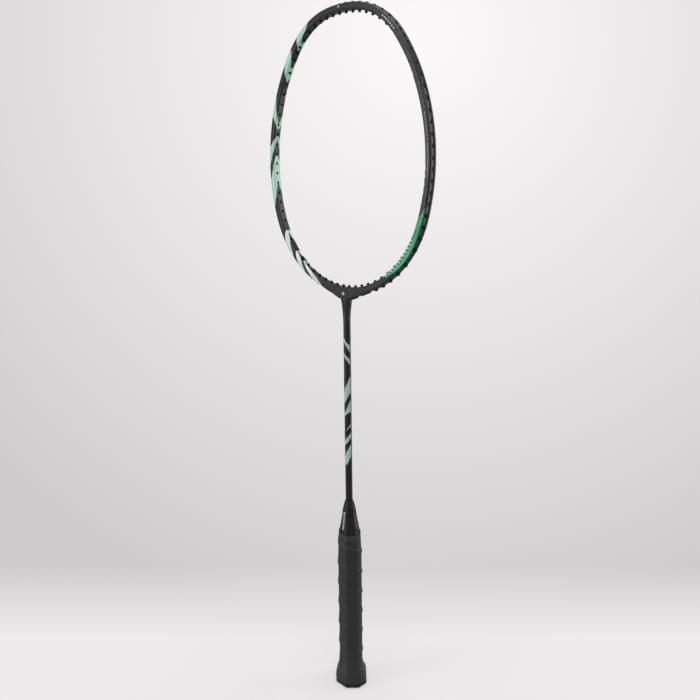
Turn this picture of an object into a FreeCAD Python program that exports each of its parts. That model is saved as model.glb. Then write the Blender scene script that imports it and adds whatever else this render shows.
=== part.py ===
"""Badminton racket, unstrung, as a parametric FreeCAD document.

Frame of the model: the origin is the centre of the butt face, +Z runs up the shaft to the head,
X lies across the head and Y is the thin direction.  All sizes are in millimetres.
"""
import FreeCAD, Part
import math
import os

import Sketcher

Vector = FreeCAD.Vector
UP = Vector(0, 0, 1)
ACROSS = Vector(1, 0, 0)
THICK = Vector(0, 1, 0)
TINY = 1e-6
# Steps that halve the range when a place on the hoop is searched for.
HALVINGS = 60
# How far a cutting tool runs past what it cuts.
PAST = 1
# How far the staples' holes are open beyond the handle's side.
STAPLE_HOLE_LIP = 3
# Half the size of the slab that flattens the neck: anything wider than the neck will do.
NECK_SLAB_REACH = 40
# The throat's rounding stays this much under the tube's, so that the two never share an edge.
ROUNDING_MARGIN = 0.05
# How far a seat's counterbore runs outwards from the groove's floor, past the tube's side.
SEAT_REACH = 4
# How much an octagon's corner cut grows when all its sides move out by one.
CUT_PER_GROWTH = 2 - math.sqrt(2)

DIMENSIONS = [
    # alias, size in mm or degrees, meaning
    ("hoop_bottom", 422.35, "butt face to the bottom of the hoop's centre line"),
    ("hoop_radius_bottom", 98.1, "centre line radius of the lower arc"),
    ("hoop_radius_side", 166.9, "centre line radius of the side arc"),
    ("hoop_radius_top", 137.9, "centre line radius of the crown arc"),
    ("hoop_sweep_bottom", 73.0, "angle of the lower arc, each side"),
    ("hoop_sweep_side", 54.7, "angle of the side arc"),
    ("hoop_sweep_shoulder", 45.5, "angle of the shoulder arc"),
    ("tube_half_width", 3.15, "hoop tube, half its size in the hoop plane"),
    ("tube_half_depth", 4.4, "hoop tube, half its size across the hoop plane"),
    ("tube_corner", 1.8, "outside corner radius of the hoop tube"),
    ("tube_wall", 1.2, "wall of the hoop tube"),
    ("cavity_corner", 0.9, "corner radius of the hoop's hollow"),
    ("groove_half_width", 2.2, "string groove, half its width"),
    ("groove_depth", 0.7, "string groove depth"),
    ("main_pitch_top", 8.28, "spacing of the top main holes across X"),
    ("main_pitch_low", 8.5, "spacing of the lower main holes across X"),
    ("cross_pitch", 9.42, "spacing of the cross holes along Z"),
    ("cross_lowest", 466.2, "height of the lowest cross hole"),
    ("shoulder_gap", 9.0, "arc from the last top main hole to the first shoulder hole"),
    ("shoulder_pitch", 6.8, "arc between shoulder holes"),
    ("hole_tilt_limit", 10.5, "largest angle between a string hole and the tube's normal"),
    ("hole_radius", 1.4, "drilled hole in the tube"),
    ("barrel_radius", 1.3, "grommet barrel"),
    ("string_radius", 0.8, "string passage through a grommet"),
    ("grommet_head_radius", 1.75, "grommet head"),
    ("grommet_seat_radius", 1.9, "counterbore under a grommet head"),
    ("seat_sink", 0.2, "least depth of a counterbore below the groove floor"),
    ("grommet_edge", 0.4, "bevel on a grommet's head and tip"),
    ("head_height_top", 1.8, "grommet head at the crown"),
    ("head_height_shoulder", 0.9, "grommet head on the shoulder, flush in the groove"),
    ("head_height_side", 0.9, "grommet head on the sides, flush in the groove"),
    ("head_height_foot", 3.0, "grommet head on the lowest crosses, standing proud"),
    ("head_height_low", 3.0, "grommet head on the lower arc, standing proud"),
    ("tip_top", 2.0, "grommet tip inside the hoop at the crown"),
    ("tip_shoulder", 1.4, "grommet tip on the shoulder"),
    ("tip_side", 0.4, "grommet tip on the sides, nearly flush"),
    ("tip_foot", 0.4, "grommet tip on the lowest crosses"),
    ("tip_low", 2.0, "grommet tip on the lower arc and over the throat"),
    ("throat_half_width", 6.0, "where the throat's underside meets the neck"),
    ("throat_height", 414.3, "height of that meeting line"),
    ("throat_exit_inner", 8.6, "X where the innermost hole leaves the throat"),
    ("throat_exit_next", 13.8, "X where the next hole leaves the throat"),
    ("strip_half_width", 1.8, "bridge strip, half its width"),
    ("strip_thickness", 2.0, "bridge strip thickness"),
    ("strip_recess", 1.0, "depth of the strip's seat in the throat"),
    ("strip_gap", 0.1, "clearance round a seated strip"),
    ("neck_bottom", 390.0, "lower end of the frame's neck"),
    ("neck_flare_radius", 140.0, "radius of the neck's concave flare"),
    ("neck_top", 418.0, "height where the neck ends inside the tube wall"),
    ("shaft_radius", 3.5, "shaft outside"),
    ("shaft_bore_radius", 2.3, "shaft inside"),
    ("shaft_bottom", 105.0, "lower end of the shaft inside the handle"),
    ("spigot_radius", 2.25, "stem of the internal T joint"),
    ("spigot_bottom", 366.0, "lower end of that stem"),
    ("t_arm_sweep", 10.5, "angle of each arm of the internal T joint"),
    ("t_arm_gap", 0.1, "clearance round the arms"),
    ("core_half_x", 11.9, "handle core, half its width along X"),
    ("core_half_y", 9.9, "handle core, half its width along Y"),
    ("core_corner", 6.81, "corner cut of the handle core"),
    ("core_top", 173.1, "shoulder of the core under the cone"),
    ("core_bottom", 3.1, "lower end of the core inside the butt cap"),
    ("core_rebate", 1.5, "how far the core is cut back inside the butt cap"),
    ("core_bore_radius", 7.0, "lightening bore from the butt end"),
    ("core_bore_top", 95.0, "depth of that bore"),
    ("taper_radius_low", 8.6, "turned taper at the shoulder"),
    ("taper_radius_high", 5.6, "turned taper at its top"),
    ("taper_top", 190.0, "top of the turned taper"),
    ("shaft_socket_gap", 0.1, "glue gap round the shaft"),
    ("cone_top", 208.0, "upper end of the cone"),
    ("cone_top_radius", 4.1, "outside radius at that end"),
    ("cone_waist", 192.0, "height where the round nose meets the faceted skirt"),
    ("cone_waist_radius", 7.4, "outside radius there"),
    ("cone_bulge_radius", 70.0, "radius of the nose's bulge"),
    ("cap_growth", 5.4, "butt cap rim outside the core"),
    ("cap_rim_height", 5.0, "height of the rim"),
    ("cap_step", 1.3, "step from the rim in to the flare under the grip"),
    ("cap_low_height", 9.3, "height where the flare is widest"),
    ("cap_low_growth", 4.35, "flare there"),
    ("cap_mid_height", 15.8, "height of the flare's middle"),
    ("cap_mid_growth", 3.15, "flare there"),
    ("cap_high_height", 20.7, "height of the flare's upper part"),
    ("cap_high_growth", 1.3, "flare there"),
    ("cap_top", 26.0, "top of the cap, flush with the core"),
    ("cap_floor", 3.0, "floor of the cap"),
    ("cap_edge", 3.6, "rounding of the butt's lower edge"),
    ("cap_gap", 0.1, "clearance between cap and core"),
    ("badge_radius", 10.5, "end badge"),
    ("badge_thickness", 0.8, "end badge thickness"),
    ("badge_gap", 0.1, "clearance of the badge in its recess"),
    ("staple_height", 23.4, "height of the staples"),
    ("staple_half_span", 2.4, "half the distance between a staple's legs"),
    ("staple_wire_radius", 0.4, "staple wire"),
    ("staple_leg", 8.0, "length of a staple's legs"),
    ("staple_gap", 0.05, "clearance round the wire"),
    ("grip_thickness", 1.6, "grip wrap on the core"),
    ("grip_gap", 0.12, "clearance under the wrap"),
    ("grip_bottom", 5.15, "lower edge of the wrap on the butt cap"),
    ("grip_flare_height", 26.5, "height where the wrap becomes straight"),
    ("grip_shoulder", 152.0, "height where the wrap begins to thin"),
    ("grip_top", 166.8, "upper edge of the wrap"),
    ("grip_top_thickness", 0.9, "wrap at its upper edge"),
    ("tape_bottom", 167.0, "lower edge of the finishing tape"),
    ("tape_top", 172.9, "upper edge of the finishing tape"),
    ("tape_thickness", 0.45, "finishing tape"),
]

CROSS_COUNT = 17
PROUD_CROSS_COUNT = 4
TOP_MAIN_COUNT = 7
LOW_MAIN_COUNT = 9
SHOULDER_COUNT = 5
# The four lower mains nearest the shaft leave through the throat, in pairs on bridge strips.
THROAT_MAIN_COUNT = 4

doc = FreeCAD.newDocument("badminton_racket")
sheet = doc.addObject("Spreadsheet::Sheet", "Dimensions")
for row, (alias, amount, meaning) in enumerate(DIMENSIONS, start=1):
    sheet.set(f"A{row}", meaning)
    sheet.set(f"B{row}", str(amount))
    sheet.setAlias(f"B{row}", alias)
doc.recompute()


def cell(alias):
    """Expression that reads one driving dimension."""
    return f"Dimensions.{alias}"


def value(expression):
    """Number that an expression gives now."""
    result = sheet.evalExpression(str(expression))
    return float(getattr(result, "Value", result))


def size(alias):
    return value(cell(alias))


# ---------------------------------------------------------------- sketches and bodies


def new_body(name):
    return doc.addObject("PartDesign::Body", name)


def new_sketch(body, name, role="XY_Plane", offset=None):
    """Sketch on an origin plane of its own body, moved along the plane's normal by an expression."""
    plane = next(f for f in body.Origin.OriginFeatures if f.Role == role)
    sketch = body.newObject("Sketcher::SketchObject", name)
    sketch.AttachmentSupport = [(plane, "")]
    sketch.MapMode = "FlatFace"
    if offset:
        sketch.setExpression("AttachmentOffset.Base.z", offset)
    return sketch


def fix(sketch, kind, *where):
    """Add a constraint whose size is the expression given last."""
    *places, expression = where
    amount = value(expression)
    if kind == "Angle":
        amount = math.radians(amount)
    number = sketch.addConstraint(Sketcher.Constraint(kind, *places, amount))
    sketch.setExpression(f"Constraints[{number}]", expression)


def pin(sketch, line, end, across, up):
    """Hold one point of a line or arc at two expressions, measured from the sketch's origin."""
    for kind, axis, expression in (("DistanceX", -2, across), ("DistanceY", -1, up)):
        amount = value(expression)
        if abs(amount) < TINY:
            sketch.addConstraint(Sketcher.Constraint("PointOnObject", line, end, axis))
        elif amount > 0:
            fix(sketch, kind, -1, 1, line, end, expression)
        else:
            fix(sketch, kind, line, end, -1, 1, f"-({expression})")


def add_outline(sketch, corners):
    """Closed outline of straight lines through corners given as pairs of expressions."""
    first = sketch.GeometryCount
    points = [Vector(value(across), value(up), 0) for across, up in corners]
    for start, finish in zip(points, points[1:] + points[:1]):
        sketch.addGeometry(Part.LineSegment(start, finish))
    for number in range(len(corners)):
        after = (number + 1) % len(corners)
        joint = Sketcher.Constraint("Coincident", first + number, 2, first + after, 1)
        sketch.addConstraint(joint)
    for number, (across, up) in enumerate(corners):
        pin(sketch, first + number, 1, across, up)


def add_circle(sketch, radius, across="0", up="0"):
    centre = Vector(value(across), value(up), 0)
    line = sketch.addGeometry(Part.Circle(centre, UP, value(radius)))
    pin(sketch, line, 3, across, up)
    fix(sketch, "Radius", line, radius)


def add_rounded_box(sketch, low, high, half_across, corner):
    """Box with round corners, centred on the vertical axis, between two heights."""
    near = f"{half_across} - {corner}"
    bottom, top = f"{low} + {corner}", f"{high} - {corner}"
    centres = [(near, bottom), (near, top), (f"-({near})", top), (f"-({near})", bottom)]
    radius = value(corner)
    first = sketch.GeometryCount
    for quarter, (across, up) in enumerate(centres):
        centre = Vector(value(across), value(up), 0)
        start = math.radians(90 * quarter - 90)
        circle = Part.Circle(centre, UP, radius)
        arc = sketch.addGeometry(Part.ArcOfCircle(circle, start, start + math.pi / 2))
        pin(sketch, arc, 3, across, up)
        fix(sketch, "Radius", arc, corner)
    arcs = [sketch.Geometry[first + quarter] for quarter in range(4)]
    for quarter in range(4):
        after = (quarter + 1) % 4
        side = Part.LineSegment(arcs[quarter].EndPoint, arcs[after].StartPoint)
        line = sketch.addGeometry(side)
        sketch.addConstraint(Sketcher.Constraint("Tangent", first + quarter, 2, line, 1))
        sketch.addConstraint(Sketcher.Constraint("Tangent", line, 2, first + after, 1))


def octagon(growth="0"):
    """Corners of the handle's octagon with every side moved out by an expression."""
    half_x = f"({cell('core_half_x')} + {growth})"
    half_y = f"({cell('core_half_y')} + {growth})"
    corner = f"({cell('core_corner')} + {CUT_PER_GROWTH} * ({growth}))"
    flat_x, flat_y = f"({half_x} - {corner})", f"({half_y} - {corner})"
    upper = [(half_x, flat_y), (flat_x, half_y), (f"-{flat_x}", half_y), (f"-{half_x}", flat_y)]
    lower = [(across[1:] if across.startswith("-") else f"-{across}", f"-{up}") for across, up in upper]
    return upper + lower


def add_faceted_ring(sketch, radius):
    """Circle split at the directions of the octagon's corners, so that it lofts to the octagon."""
    corners = octagon()
    angles = [math.atan2(value(up), value(across)) for across, up in corners]
    first = sketch.GeometryCount
    circle = Part.Circle(Vector(0, 0, 0), UP, value(radius))
    for start, finish in zip(angles, angles[1:] + angles[:1]):
        finish += 2 * math.pi if finish < start else 0
        sketch.addGeometry(Part.ArcOfCircle(circle, start, finish))
    last = first + len(angles) - 1
    joints = [(first + number, 1, angle) for number, angle in enumerate(angles)] + [(last, 2, angles[0])]
    for arc, end, angle in joints:
        height = f"{radius} * {abs(math.sin(angle))}"
        points = (-1, 1, arc, end) if angle > 0 else (arc, end, -1, 1)
        fix(sketch, "DistanceY", *points, height)
    for arc in range(first, last + 1):
        sketch.addConstraint(Sketcher.Constraint("Coincident", arc, 3, -1, 1))
    for arc in range(first, last):
        sketch.addConstraint(Sketcher.Constraint("Coincident", arc, 2, arc + 1, 1))
    fix(sketch, "Radius", first, radius)


def feature(body, kind, name, profile):
    made = body.newObject(f"PartDesign::{kind}", name)
    made.Profile = (profile, [""])
    return made


def pad(body, name, profile, length):
    feature(body, "Pad", name, profile).setExpression("Length", length)


def pocket(body, name, profile, depth):
    """Cut down from the sketch's plane, towards -Z."""
    feature(body, "Pocket", name, profile).setExpression("Length", depth)


def turned(body, kind, name, profile):
    """Revolution or Groove of a sketch about the racket's long axis."""
    made = feature(body, kind, name, profile)
    made.ReferenceAxis = (profile, ["V_Axis"])
    made.Angle = 360


def loft(body, name, sections, ruled=True):
    made = feature(body, "AdditiveLoft", name, sections[0])
    made.Sections = [(section, [""]) for section in sections[1:]]
    made.Ruled = ruled


def octagon_sections(body, name, stations):
    """One octagon sketch at each height, from pairs of height and growth expressions."""
    sections = []
    for number, (height, growth) in enumerate(stations):
        section = new_sketch(body, f"{name}_{number}", offset=height)
        add_outline(section, octagon(growth))
        sections.append(section)
    return sections


def joined(kind, name, pieces):
    """Part::MultiFuse, Part::MultiCommon or Part::Compound of some objects."""
    made = doc.addObject(kind, name)
    if kind == "Part::Compound":
        made.Links = pieces
    else:
        made.Shapes = pieces
    return made


def cut(name, base, tool):
    made = doc.addObject("Part::Cut", name)
    made.Base = base
    made.Tool = tool
    return made


def mirrored(source, name):
    """The same piece on the other side of the YZ plane."""
    made = doc.addObject("Part::Mirroring", name)
    made.Source = source
    made.Base = Vector(0, 0, 0)
    made.Normal = ACROSS
    return made


def fixed_shape(name, shape):
    """Object whose shape is worked out from the sheet by this script."""
    made = doc.addObject("Part::Feature", name)
    made.Shape = shape
    made.Placement = FreeCAD.Placement()
    return made


# ---------------------------------------------------------------- the hoop's centre line


def shoulder_radius():
    """Radius that closes the half hoop on the axis, from the other three arcs."""
    turns = [math.radians(size(f"hoop_sweep_{part}")) for part in ("bottom", "side", "shoulder")]
    ends = [math.sin(sum(turns[: count + 1])) for count in range(3)]
    reach = size("hoop_radius_bottom") * ends[0]
    reach += size("hoop_radius_side") * (ends[1] - ends[0])
    reach -= size("hoop_radius_top") * ends[2]
    return -reach / (ends[2] - ends[1])


def hoop_arcs():
    """Radius, sweep and centre (X, Z) of each arc, from the bottom of the hoop up its right side."""
    radii = [size("hoop_radius_bottom"), size("hoop_radius_side"), shoulder_radius()]
    radii.append(size("hoop_radius_top"))
    sweeps = [math.radians(size(f"hoop_sweep_{part}")) for part in ("bottom", "side", "shoulder")]
    sweeps.append(math.pi - sum(sweeps))
    arcs, x, z, heading = [], 0.0, size("hoop_bottom"), 0.0
    for radius, sweep in zip(radii, sweeps):
        centre_x = x - radius * math.sin(heading)
        centre_z = z + radius * math.cos(heading)
        arcs.append((radius, sweep, heading, centre_x, centre_z))
        heading += sweep
        x = centre_x + radius * math.sin(heading)
        z = centre_z - radius * math.cos(heading)
    return arcs


HOOP = hoop_arcs()


def hoop_point(heading):
    """Point of the centre line, and the outward normal, where the hoop has turned by an angle."""
    for radius, sweep, start, centre_x, centre_z in HOOP:
        if heading <= start + sweep + TINY:
            break
    normal = Vector(math.sin(heading), 0, -math.cos(heading))
    return Vector(centre_x, 0, centre_z) + normal * radius, normal


def heading_where(reached, low, high):
    """Heading between two limits at which a condition on the centre line point becomes true."""
    for _ in range(HALVINGS):
        middle = (low + high) / 2
        if reached(hoop_point(middle)[0]):
            high = middle
        else:
            low = middle
    return high


def heading_after(heading, length):
    """Heading reached after going back down the hoop by a length of arc."""
    for radius, sweep, start, _, _ in reversed(HOOP):
        if heading <= start:
            continue
        along = (heading - start) * radius
        if length <= along:
            return heading - length / radius
        length -= along
        heading = start
    return heading


# ---------------------------------------------------------------- string holes


def hole(heading, along, row):
    """One string hole: its seat, its outward direction, and its grommet's barrel length and head height.

    The hole follows the string's own direction, but leans from the tube's normal by a limited angle.
    The row it belongs to, such as "top", sets how far its grommet stands out at each end.
    """
    point, normal = hoop_point(heading)
    lean = math.copysign(1, normal.cross(along).y) * normal.getAngle(along)
    limit = math.radians(size("hole_tilt_limit"))
    kept = max(-limit, min(limit, lean))
    turn = FreeCAD.Rotation(THICK, math.degrees(kept))
    direction = turn.multVec(normal)
    slant = math.cos(kept)
    sink = size("seat_sink") + size("grommet_seat_radius") * math.tan(abs(kept))
    to_floor = (size("tube_half_width") - size("groove_depth")) / slant - sink
    to_inner = size("tube_half_width") / slant
    seat = point + direction * to_floor
    return seat, direction, to_floor + to_inner + size(f"tip_{row}"), size(f"head_height_{row}")


def top_main_holes():
    holes = []
    for number in range(TOP_MAIN_COUNT):
        x = (number + 0.5) * size("main_pitch_top")
        heading = heading_where(lambda point: point.x <= x, math.pi / 2, math.pi)
        holes.append(hole(heading, UP, "top"))
    return holes


def shoulder_holes():
    last = (TOP_MAIN_COUNT - 0.5) * size("main_pitch_top")
    heading = heading_where(lambda point: point.x <= last, math.pi / 2, math.pi)
    holes = []
    for number in range(SHOULDER_COUNT):
        back = size("shoulder_gap") + number * size("shoulder_pitch")
        here = heading_after(heading, back)
        holes.append(hole(here, hoop_point(here)[1], "shoulder"))
    return holes


def cross_holes():
    holes = []
    for number in range(CROSS_COUNT):
        height = size("cross_lowest") + number * size("cross_pitch")
        heading = heading_where(lambda point: point.z >= height, 0, math.pi)
        holes.append(hole(heading, ACROSS, "foot" if number < PROUD_CROSS_COUNT else "side"))
    return holes


def low_main_holes():
    """Lower mains outside the throat."""
    holes = []
    for number in range(THROAT_MAIN_COUNT, LOW_MAIN_COUNT):
        x = (number + 0.5) * size("main_pitch_low")
        heading = heading_where(lambda point: point.x >= x, 0, math.pi / 2)
        holes.append(hole(heading, -UP, "low"))
    return holes


def underside():
    """Start, direction and outward normal of the throat's straight underside, right half.

    The line leaves the neck and touches the outer side of the hoop.
    """
    radius = HOOP[0][0] + size("tube_half_width")
    start = Vector(size("throat_half_width"), 0, size("throat_height"))
    centre = Vector(HOOP[0][3], 0, HOOP[0][4])
    away = (start - centre).Length
    slope = math.acos(radius / away) + math.atan2(start.x, centre.z - start.z)
    along = Vector(math.cos(slope), 0, math.sin(slope))
    normal = Vector(math.sin(slope), 0, -math.cos(slope))
    return start, along, normal, centre + normal * radius


def throat_holes():
    """The four holes of one side that leave through the throat's underside, from the shaft out."""
    start, along, normal, _ = underside()
    exits = [size("throat_exit_inner"), size("throat_exit_next")]
    exits += [(number + 0.5) * size("main_pitch_low") for number in (2, 3)]
    holes = []
    for number, exit_x in enumerate(exits):
        inner_x = (number + 0.5) * size("main_pitch_low")
        heading = heading_where(lambda point: point.x >= inner_x, 0, math.pi / 2)
        point, hoop_normal = hoop_point(heading)
        inside = point - hoop_normal * size("tube_half_width")
        outside = start + along * ((exit_x - start.x) / along.x)
        direction = (outside - inside).normalize()
        reach = (outside - inside).Length + size("tip_low")
        holes.append((outside, direction, reach))
    return holes


def placed(shape, position, direction):
    shape.Placement = FreeCAD.Placement(position, FreeCAD.Rotation(UP, direction))
    return shape


def cylinder(radius, low, high, position, direction):
    return placed(Part.makeCylinder(radius, high - low, Vector(0, 0, low)), position, direction)


def drill(one):
    """Through hole and counterbore for one grommet."""
    seat, direction, barrel, _ = one
    through = cylinder(size("hole_radius"), -barrel - PAST, SEAT_REACH, seat, direction)
    seat_bore = cylinder(size("grommet_seat_radius"), 0, SEAT_REACH, seat, direction)
    return [through, seat_bore]


def grommet(one):
    """Turned sleeve with a head that sits in the string groove and a tip inside the hoop."""
    seat, direction, barrel, head = one
    bore, sleeve = size("string_radius"), size("barrel_radius")
    rim, bevel = size("grommet_head_radius"), size("grommet_edge")
    profile = [
        (bore, head),
        (rim - bevel, head),
        (rim, head - bevel),
        (rim, 0),
        (sleeve, 0),
        (sleeve, bevel - barrel),
        (sleeve - bevel, -barrel),
        (bore, -barrel),
    ]
    points = [Vector(radius, 0, height) for radius, height in profile]
    face = Part.Face(Part.makePolygon(points + points[:1]))
    return placed(face.revolve(Vector(0, 0, 0), UP, 360), seat, direction)


def strip_bar(first, second, margin, low, high):
    """Long bar with round ends over two hole exits, between two heights above the underside."""
    _, along, normal, _ = underside()
    half = size("strip_half_width") + margin
    ends = [cylinder(half, low, high, exit_point, normal) for exit_point in (first, second)]
    width = along * (second - first).Length
    corner = first + normal * low - THICK * half
    edges = [corner, corner + width, corner + width + THICK * 2 * half, corner + THICK * 2 * half]
    middle = Part.Face(Part.makePolygon(edges + edges[:1])).extrude(normal * (high - low))
    return ends[0].multiFuse([middle, ends[1]]).removeSplitter()


def bridge_strip(pair):
    """Two grommet barrels joined by a bar that carries the string from one hole to the next."""
    first, second = pair
    recess = size("strip_recess")
    body = strip_bar(first[0], second[0], 0, -recess, size("strip_thickness") - recess)
    bores = []
    for exit_point, direction, reach in pair:
        inside = -recess / 2
        barrel = cylinder(size("barrel_radius"), -reach, inside, exit_point, direction)
        body = body.fuse(barrel)
        beyond = size("strip_thickness") + PAST
        bores.append(cylinder(size("string_radius"), -reach - PAST, beyond, exit_point, direction))
    return body.cut(bores).removeSplitter()


def strip_cutters(pair):
    """Seat of a bridge strip and the two holes above it."""
    first, second = pair
    gap, recess = size("strip_gap"), size("strip_recess")
    cutters = [strip_bar(first[0], second[0], gap, -recess, size("strip_thickness"))]
    for exit_point, direction, reach in pair:
        cutters.append(cylinder(size("hole_radius"), -reach - PAST, 0, exit_point, direction))
    return cutters


def both_sides(shapes):
    return shapes + [shape.mirror(Vector(0, 0, 0), ACROSS) for shape in shapes]


# ---------------------------------------------------------------- head frame


def hoop_path(body, name):
    """Centre line of the right half of the hoop: four arcs, each tangent to the next."""
    path = new_sketch(body, name, "XZ_Plane")
    for radius, sweep, start, centre_x, centre_z in HOOP:
        circle = Part.Circle(Vector(centre_x, centre_z, 0), UP, radius)
        begin = start - math.pi / 2
        path.addGeometry(Part.ArcOfCircle(circle, begin, begin + sweep))
    for arc in range(3):
        path.addConstraint(Sketcher.Constraint("Tangent", arc, 2, arc + 1, 1))
    for arc, end in ((0, 1), (0, 3), (3, 2), (3, 3)):
        path.addConstraint(Sketcher.Constraint("PointOnObject", arc, end, -2))
    fix(path, "Radius", 0, cell("hoop_radius_bottom"))
    fix(path, "Radius", 1, cell("hoop_radius_side"))
    fix(path, "Radius", 3, cell("hoop_radius_top"))
    for arc, part in enumerate(("bottom", "side", "shoulder")):
        fix(path, "Angle", arc, f"{cell('hoop_sweep_' + part)} * 1 deg")
    fix(path, "DistanceY", -1, 1, 0, 1, cell("hoop_bottom"))
    return path


def swept(body, kind, name, section, path):
    made = feature(body, kind, name, section)
    made.Spine = (path, ["Edge1", "Edge2", "Edge3", "Edge4"])
    return made


def hoop_half():
    """Right half of the hoop tube, solid, with the string groove round its outer side."""
    body = new_body("hoop_half")
    path = hoop_path(body, "hoop_path")
    section = new_sketch(body, "hoop_section", "YZ_Plane")
    low = f"{cell('hoop_bottom')} - {cell('tube_half_width')}"
    high = f"{cell('hoop_bottom')} + {cell('tube_half_width')}"
    add_rounded_box(section, low, high, cell("tube_half_depth"), cell("tube_corner"))
    swept(body, "AdditivePipe", "hoop_tube", section, path)
    groove = new_sketch(body, "groove_section", "YZ_Plane")
    half, depth = cell("groove_half_width"), cell("groove_depth")
    radius = f"(({half}) ^ 2 + ({depth}) ^ 2) / (2 * {depth})"
    add_circle(groove, radius, "0", f"{low} + {depth} - {radius}")
    swept(body, "SubtractivePipe", "string_groove", groove, path)
    return body


def hoop_cavity():
    """Right half of the hoop's hollow."""
    body = new_body("hoop_cavity")
    path = hoop_path(body, "cavity_path")
    section = new_sketch(body, "cavity_section", "YZ_Plane")
    wall = cell("tube_wall")
    low = f"{cell('hoop_bottom')} - {cell('tube_half_width')} + {cell('groove_depth')} + {wall}"
    high = f"{cell('hoop_bottom')} + {cell('tube_half_width')} - {wall}"
    add_rounded_box(section, low, high, f"({cell('tube_half_depth')} - {wall})", cell("cavity_corner"))
    swept(body, "AdditivePipe", "cavity_tube", section, path)
    return body


def throat_wedge():
    """Solid web that fills the angle between the hoop's underside and the neck."""
    body = new_body("throat_wedge")
    profile = new_sketch(body, "throat_profile", "XZ_Plane", f"-({cell('tube_half_depth')})")
    touch = underside()[3]
    inside = f"{cell('hoop_bottom')} + {cell('tube_half_width')} / 2"
    side = [(cell("throat_half_width"), cell("throat_height")), (str(touch.x), str(touch.z))]
    other = [(f"-({across})", up) for across, up in reversed(side)]
    add_outline(profile, side + [("0", inside)] + other)
    pad(body, "throat_web", profile, f"2 * {cell('tube_half_depth')}")
    doc.recompute()
    slanted = []
    for number, edge in enumerate(body.Tip.Shape.Edges, start=1):
        middle = edge.CenterOfMass
        along_y = abs(edge.tangentAt(edge.FirstParameter).y) > 0.5
        if not along_y and middle.z < size("hoop_bottom") - 1:
            slanted.append(f"Edge{number}")
    web = body.Tip
    rounding = body.newObject("PartDesign::Fillet", "throat_rounding")
    rounding.Base = (web, slanted)
    rounding.setExpression("Radius", f"{cell('tube_corner')} - {ROUNDING_MARGIN}")
    return body


def neck():
    """Round neck that flares from the shaft's size up to the throat, flattened to the tube's depth."""
    body = new_body("neck_turning")
    profile = new_sketch(body, "neck_profile", "XZ_Plane")
    bottom, top = size("neck_bottom"), size("neck_top")
    flare = size("neck_flare_radius")
    wide = size("shaft_radius") + flare - math.sqrt(flare**2 - (top - bottom) ** 2)
    corners = [
        Vector(0, bottom, 0),
        Vector(size("shaft_radius"), bottom, 0),
        Vector(wide, top, 0),
        Vector(0, top, 0),
    ]
    centre = Vector(size("shaft_radius") + flare, bottom, 0)
    sweep = math.asin((top - bottom) / flare)
    circle = Part.Circle(centre, UP, flare)
    base = profile.addGeometry(Part.LineSegment(corners[0], corners[1]))
    side = profile.addGeometry(Part.ArcOfCircle(circle, math.pi - sweep, math.pi))
    lid = profile.addGeometry(Part.LineSegment(corners[2], corners[3]))
    axis = profile.addGeometry(Part.LineSegment(corners[3], corners[0]))
    joints = ((base, 2, side, 2), (side, 1, lid, 1), (lid, 2, axis, 1), (axis, 2, base, 1))
    for joint in joints:
        profile.addConstraint(Sketcher.Constraint("Coincident", *joint))
    pin(profile, base, 1, "0", cell("neck_bottom"))
    pin(profile, base, 2, cell("shaft_radius"), cell("neck_bottom"))
    pin(profile, side, 3, f"{cell('shaft_radius')} + {cell('neck_flare_radius')}", cell("neck_bottom"))
    pin(profile, lid, 2, "0", cell("neck_top"))
    profile.addConstraint(Sketcher.Constraint("Horizontal", lid))
    turned(body, "Revolution", "neck_solid", profile)
    slab = doc.addObject("Part::Box", "neck_slab")
    slab.Length = 2 * NECK_SLAB_REACH
    slab.setExpression("Width", f"2 * {cell('tube_half_depth')}")
    slab.Height = 2 * NECK_SLAB_REACH
    slab.setExpression("Placement.Base.x", f"-{NECK_SLAB_REACH}")
    slab.setExpression("Placement.Base.y", f"-{cell('tube_half_depth')}")
    slab.setExpression("Placement.Base.z", f"{cell('neck_bottom')} - {NECK_SLAB_REACH / 2}")
    return joined("Part::MultiCommon", "neck", [body, slab])


def spigot_bore():
    bore = doc.addObject("Part::Cylinder", "spigot_bore")
    bore.setExpression("Radius", cell("shaft_bore_radius"))
    bore.setExpression("Height", f"{cell('hoop_bottom')} - {cell('neck_bottom')} + {PAST}")
    bore.setExpression("Placement.Base.z", f"{cell('neck_bottom')} - {PAST}")
    return bore


def head_frame():
    """The hoop tube with its moulded throat and neck, hollow, with all its string holes."""
    half = hoop_half()
    blanks = [half, mirrored(half, "hoop_other_half"), throat_wedge(), neck()]
    solid = joined("Part::MultiFuse", "frame_blank", blanks)
    cavity = hoop_cavity()
    single = top_main_holes() + shoulder_holes() + cross_holes() + low_main_holes()
    cutters = [tool for one in single for tool in drill(one)]
    throat = throat_holes()
    cutters += strip_cutters(throat[:2]) + strip_cutters(throat[2:])
    drills = fixed_shape("string_hole_drills", Part.makeCompound(both_sides(cutters)))
    hollows = [cavity, mirrored(cavity, "cavity_other_half"), spigot_bore(), drills]
    return cut("head_frame", solid, joined("Part::Compound", "frame_cutters", hollows))


# ---------------------------------------------------------------- shaft and joint


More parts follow.
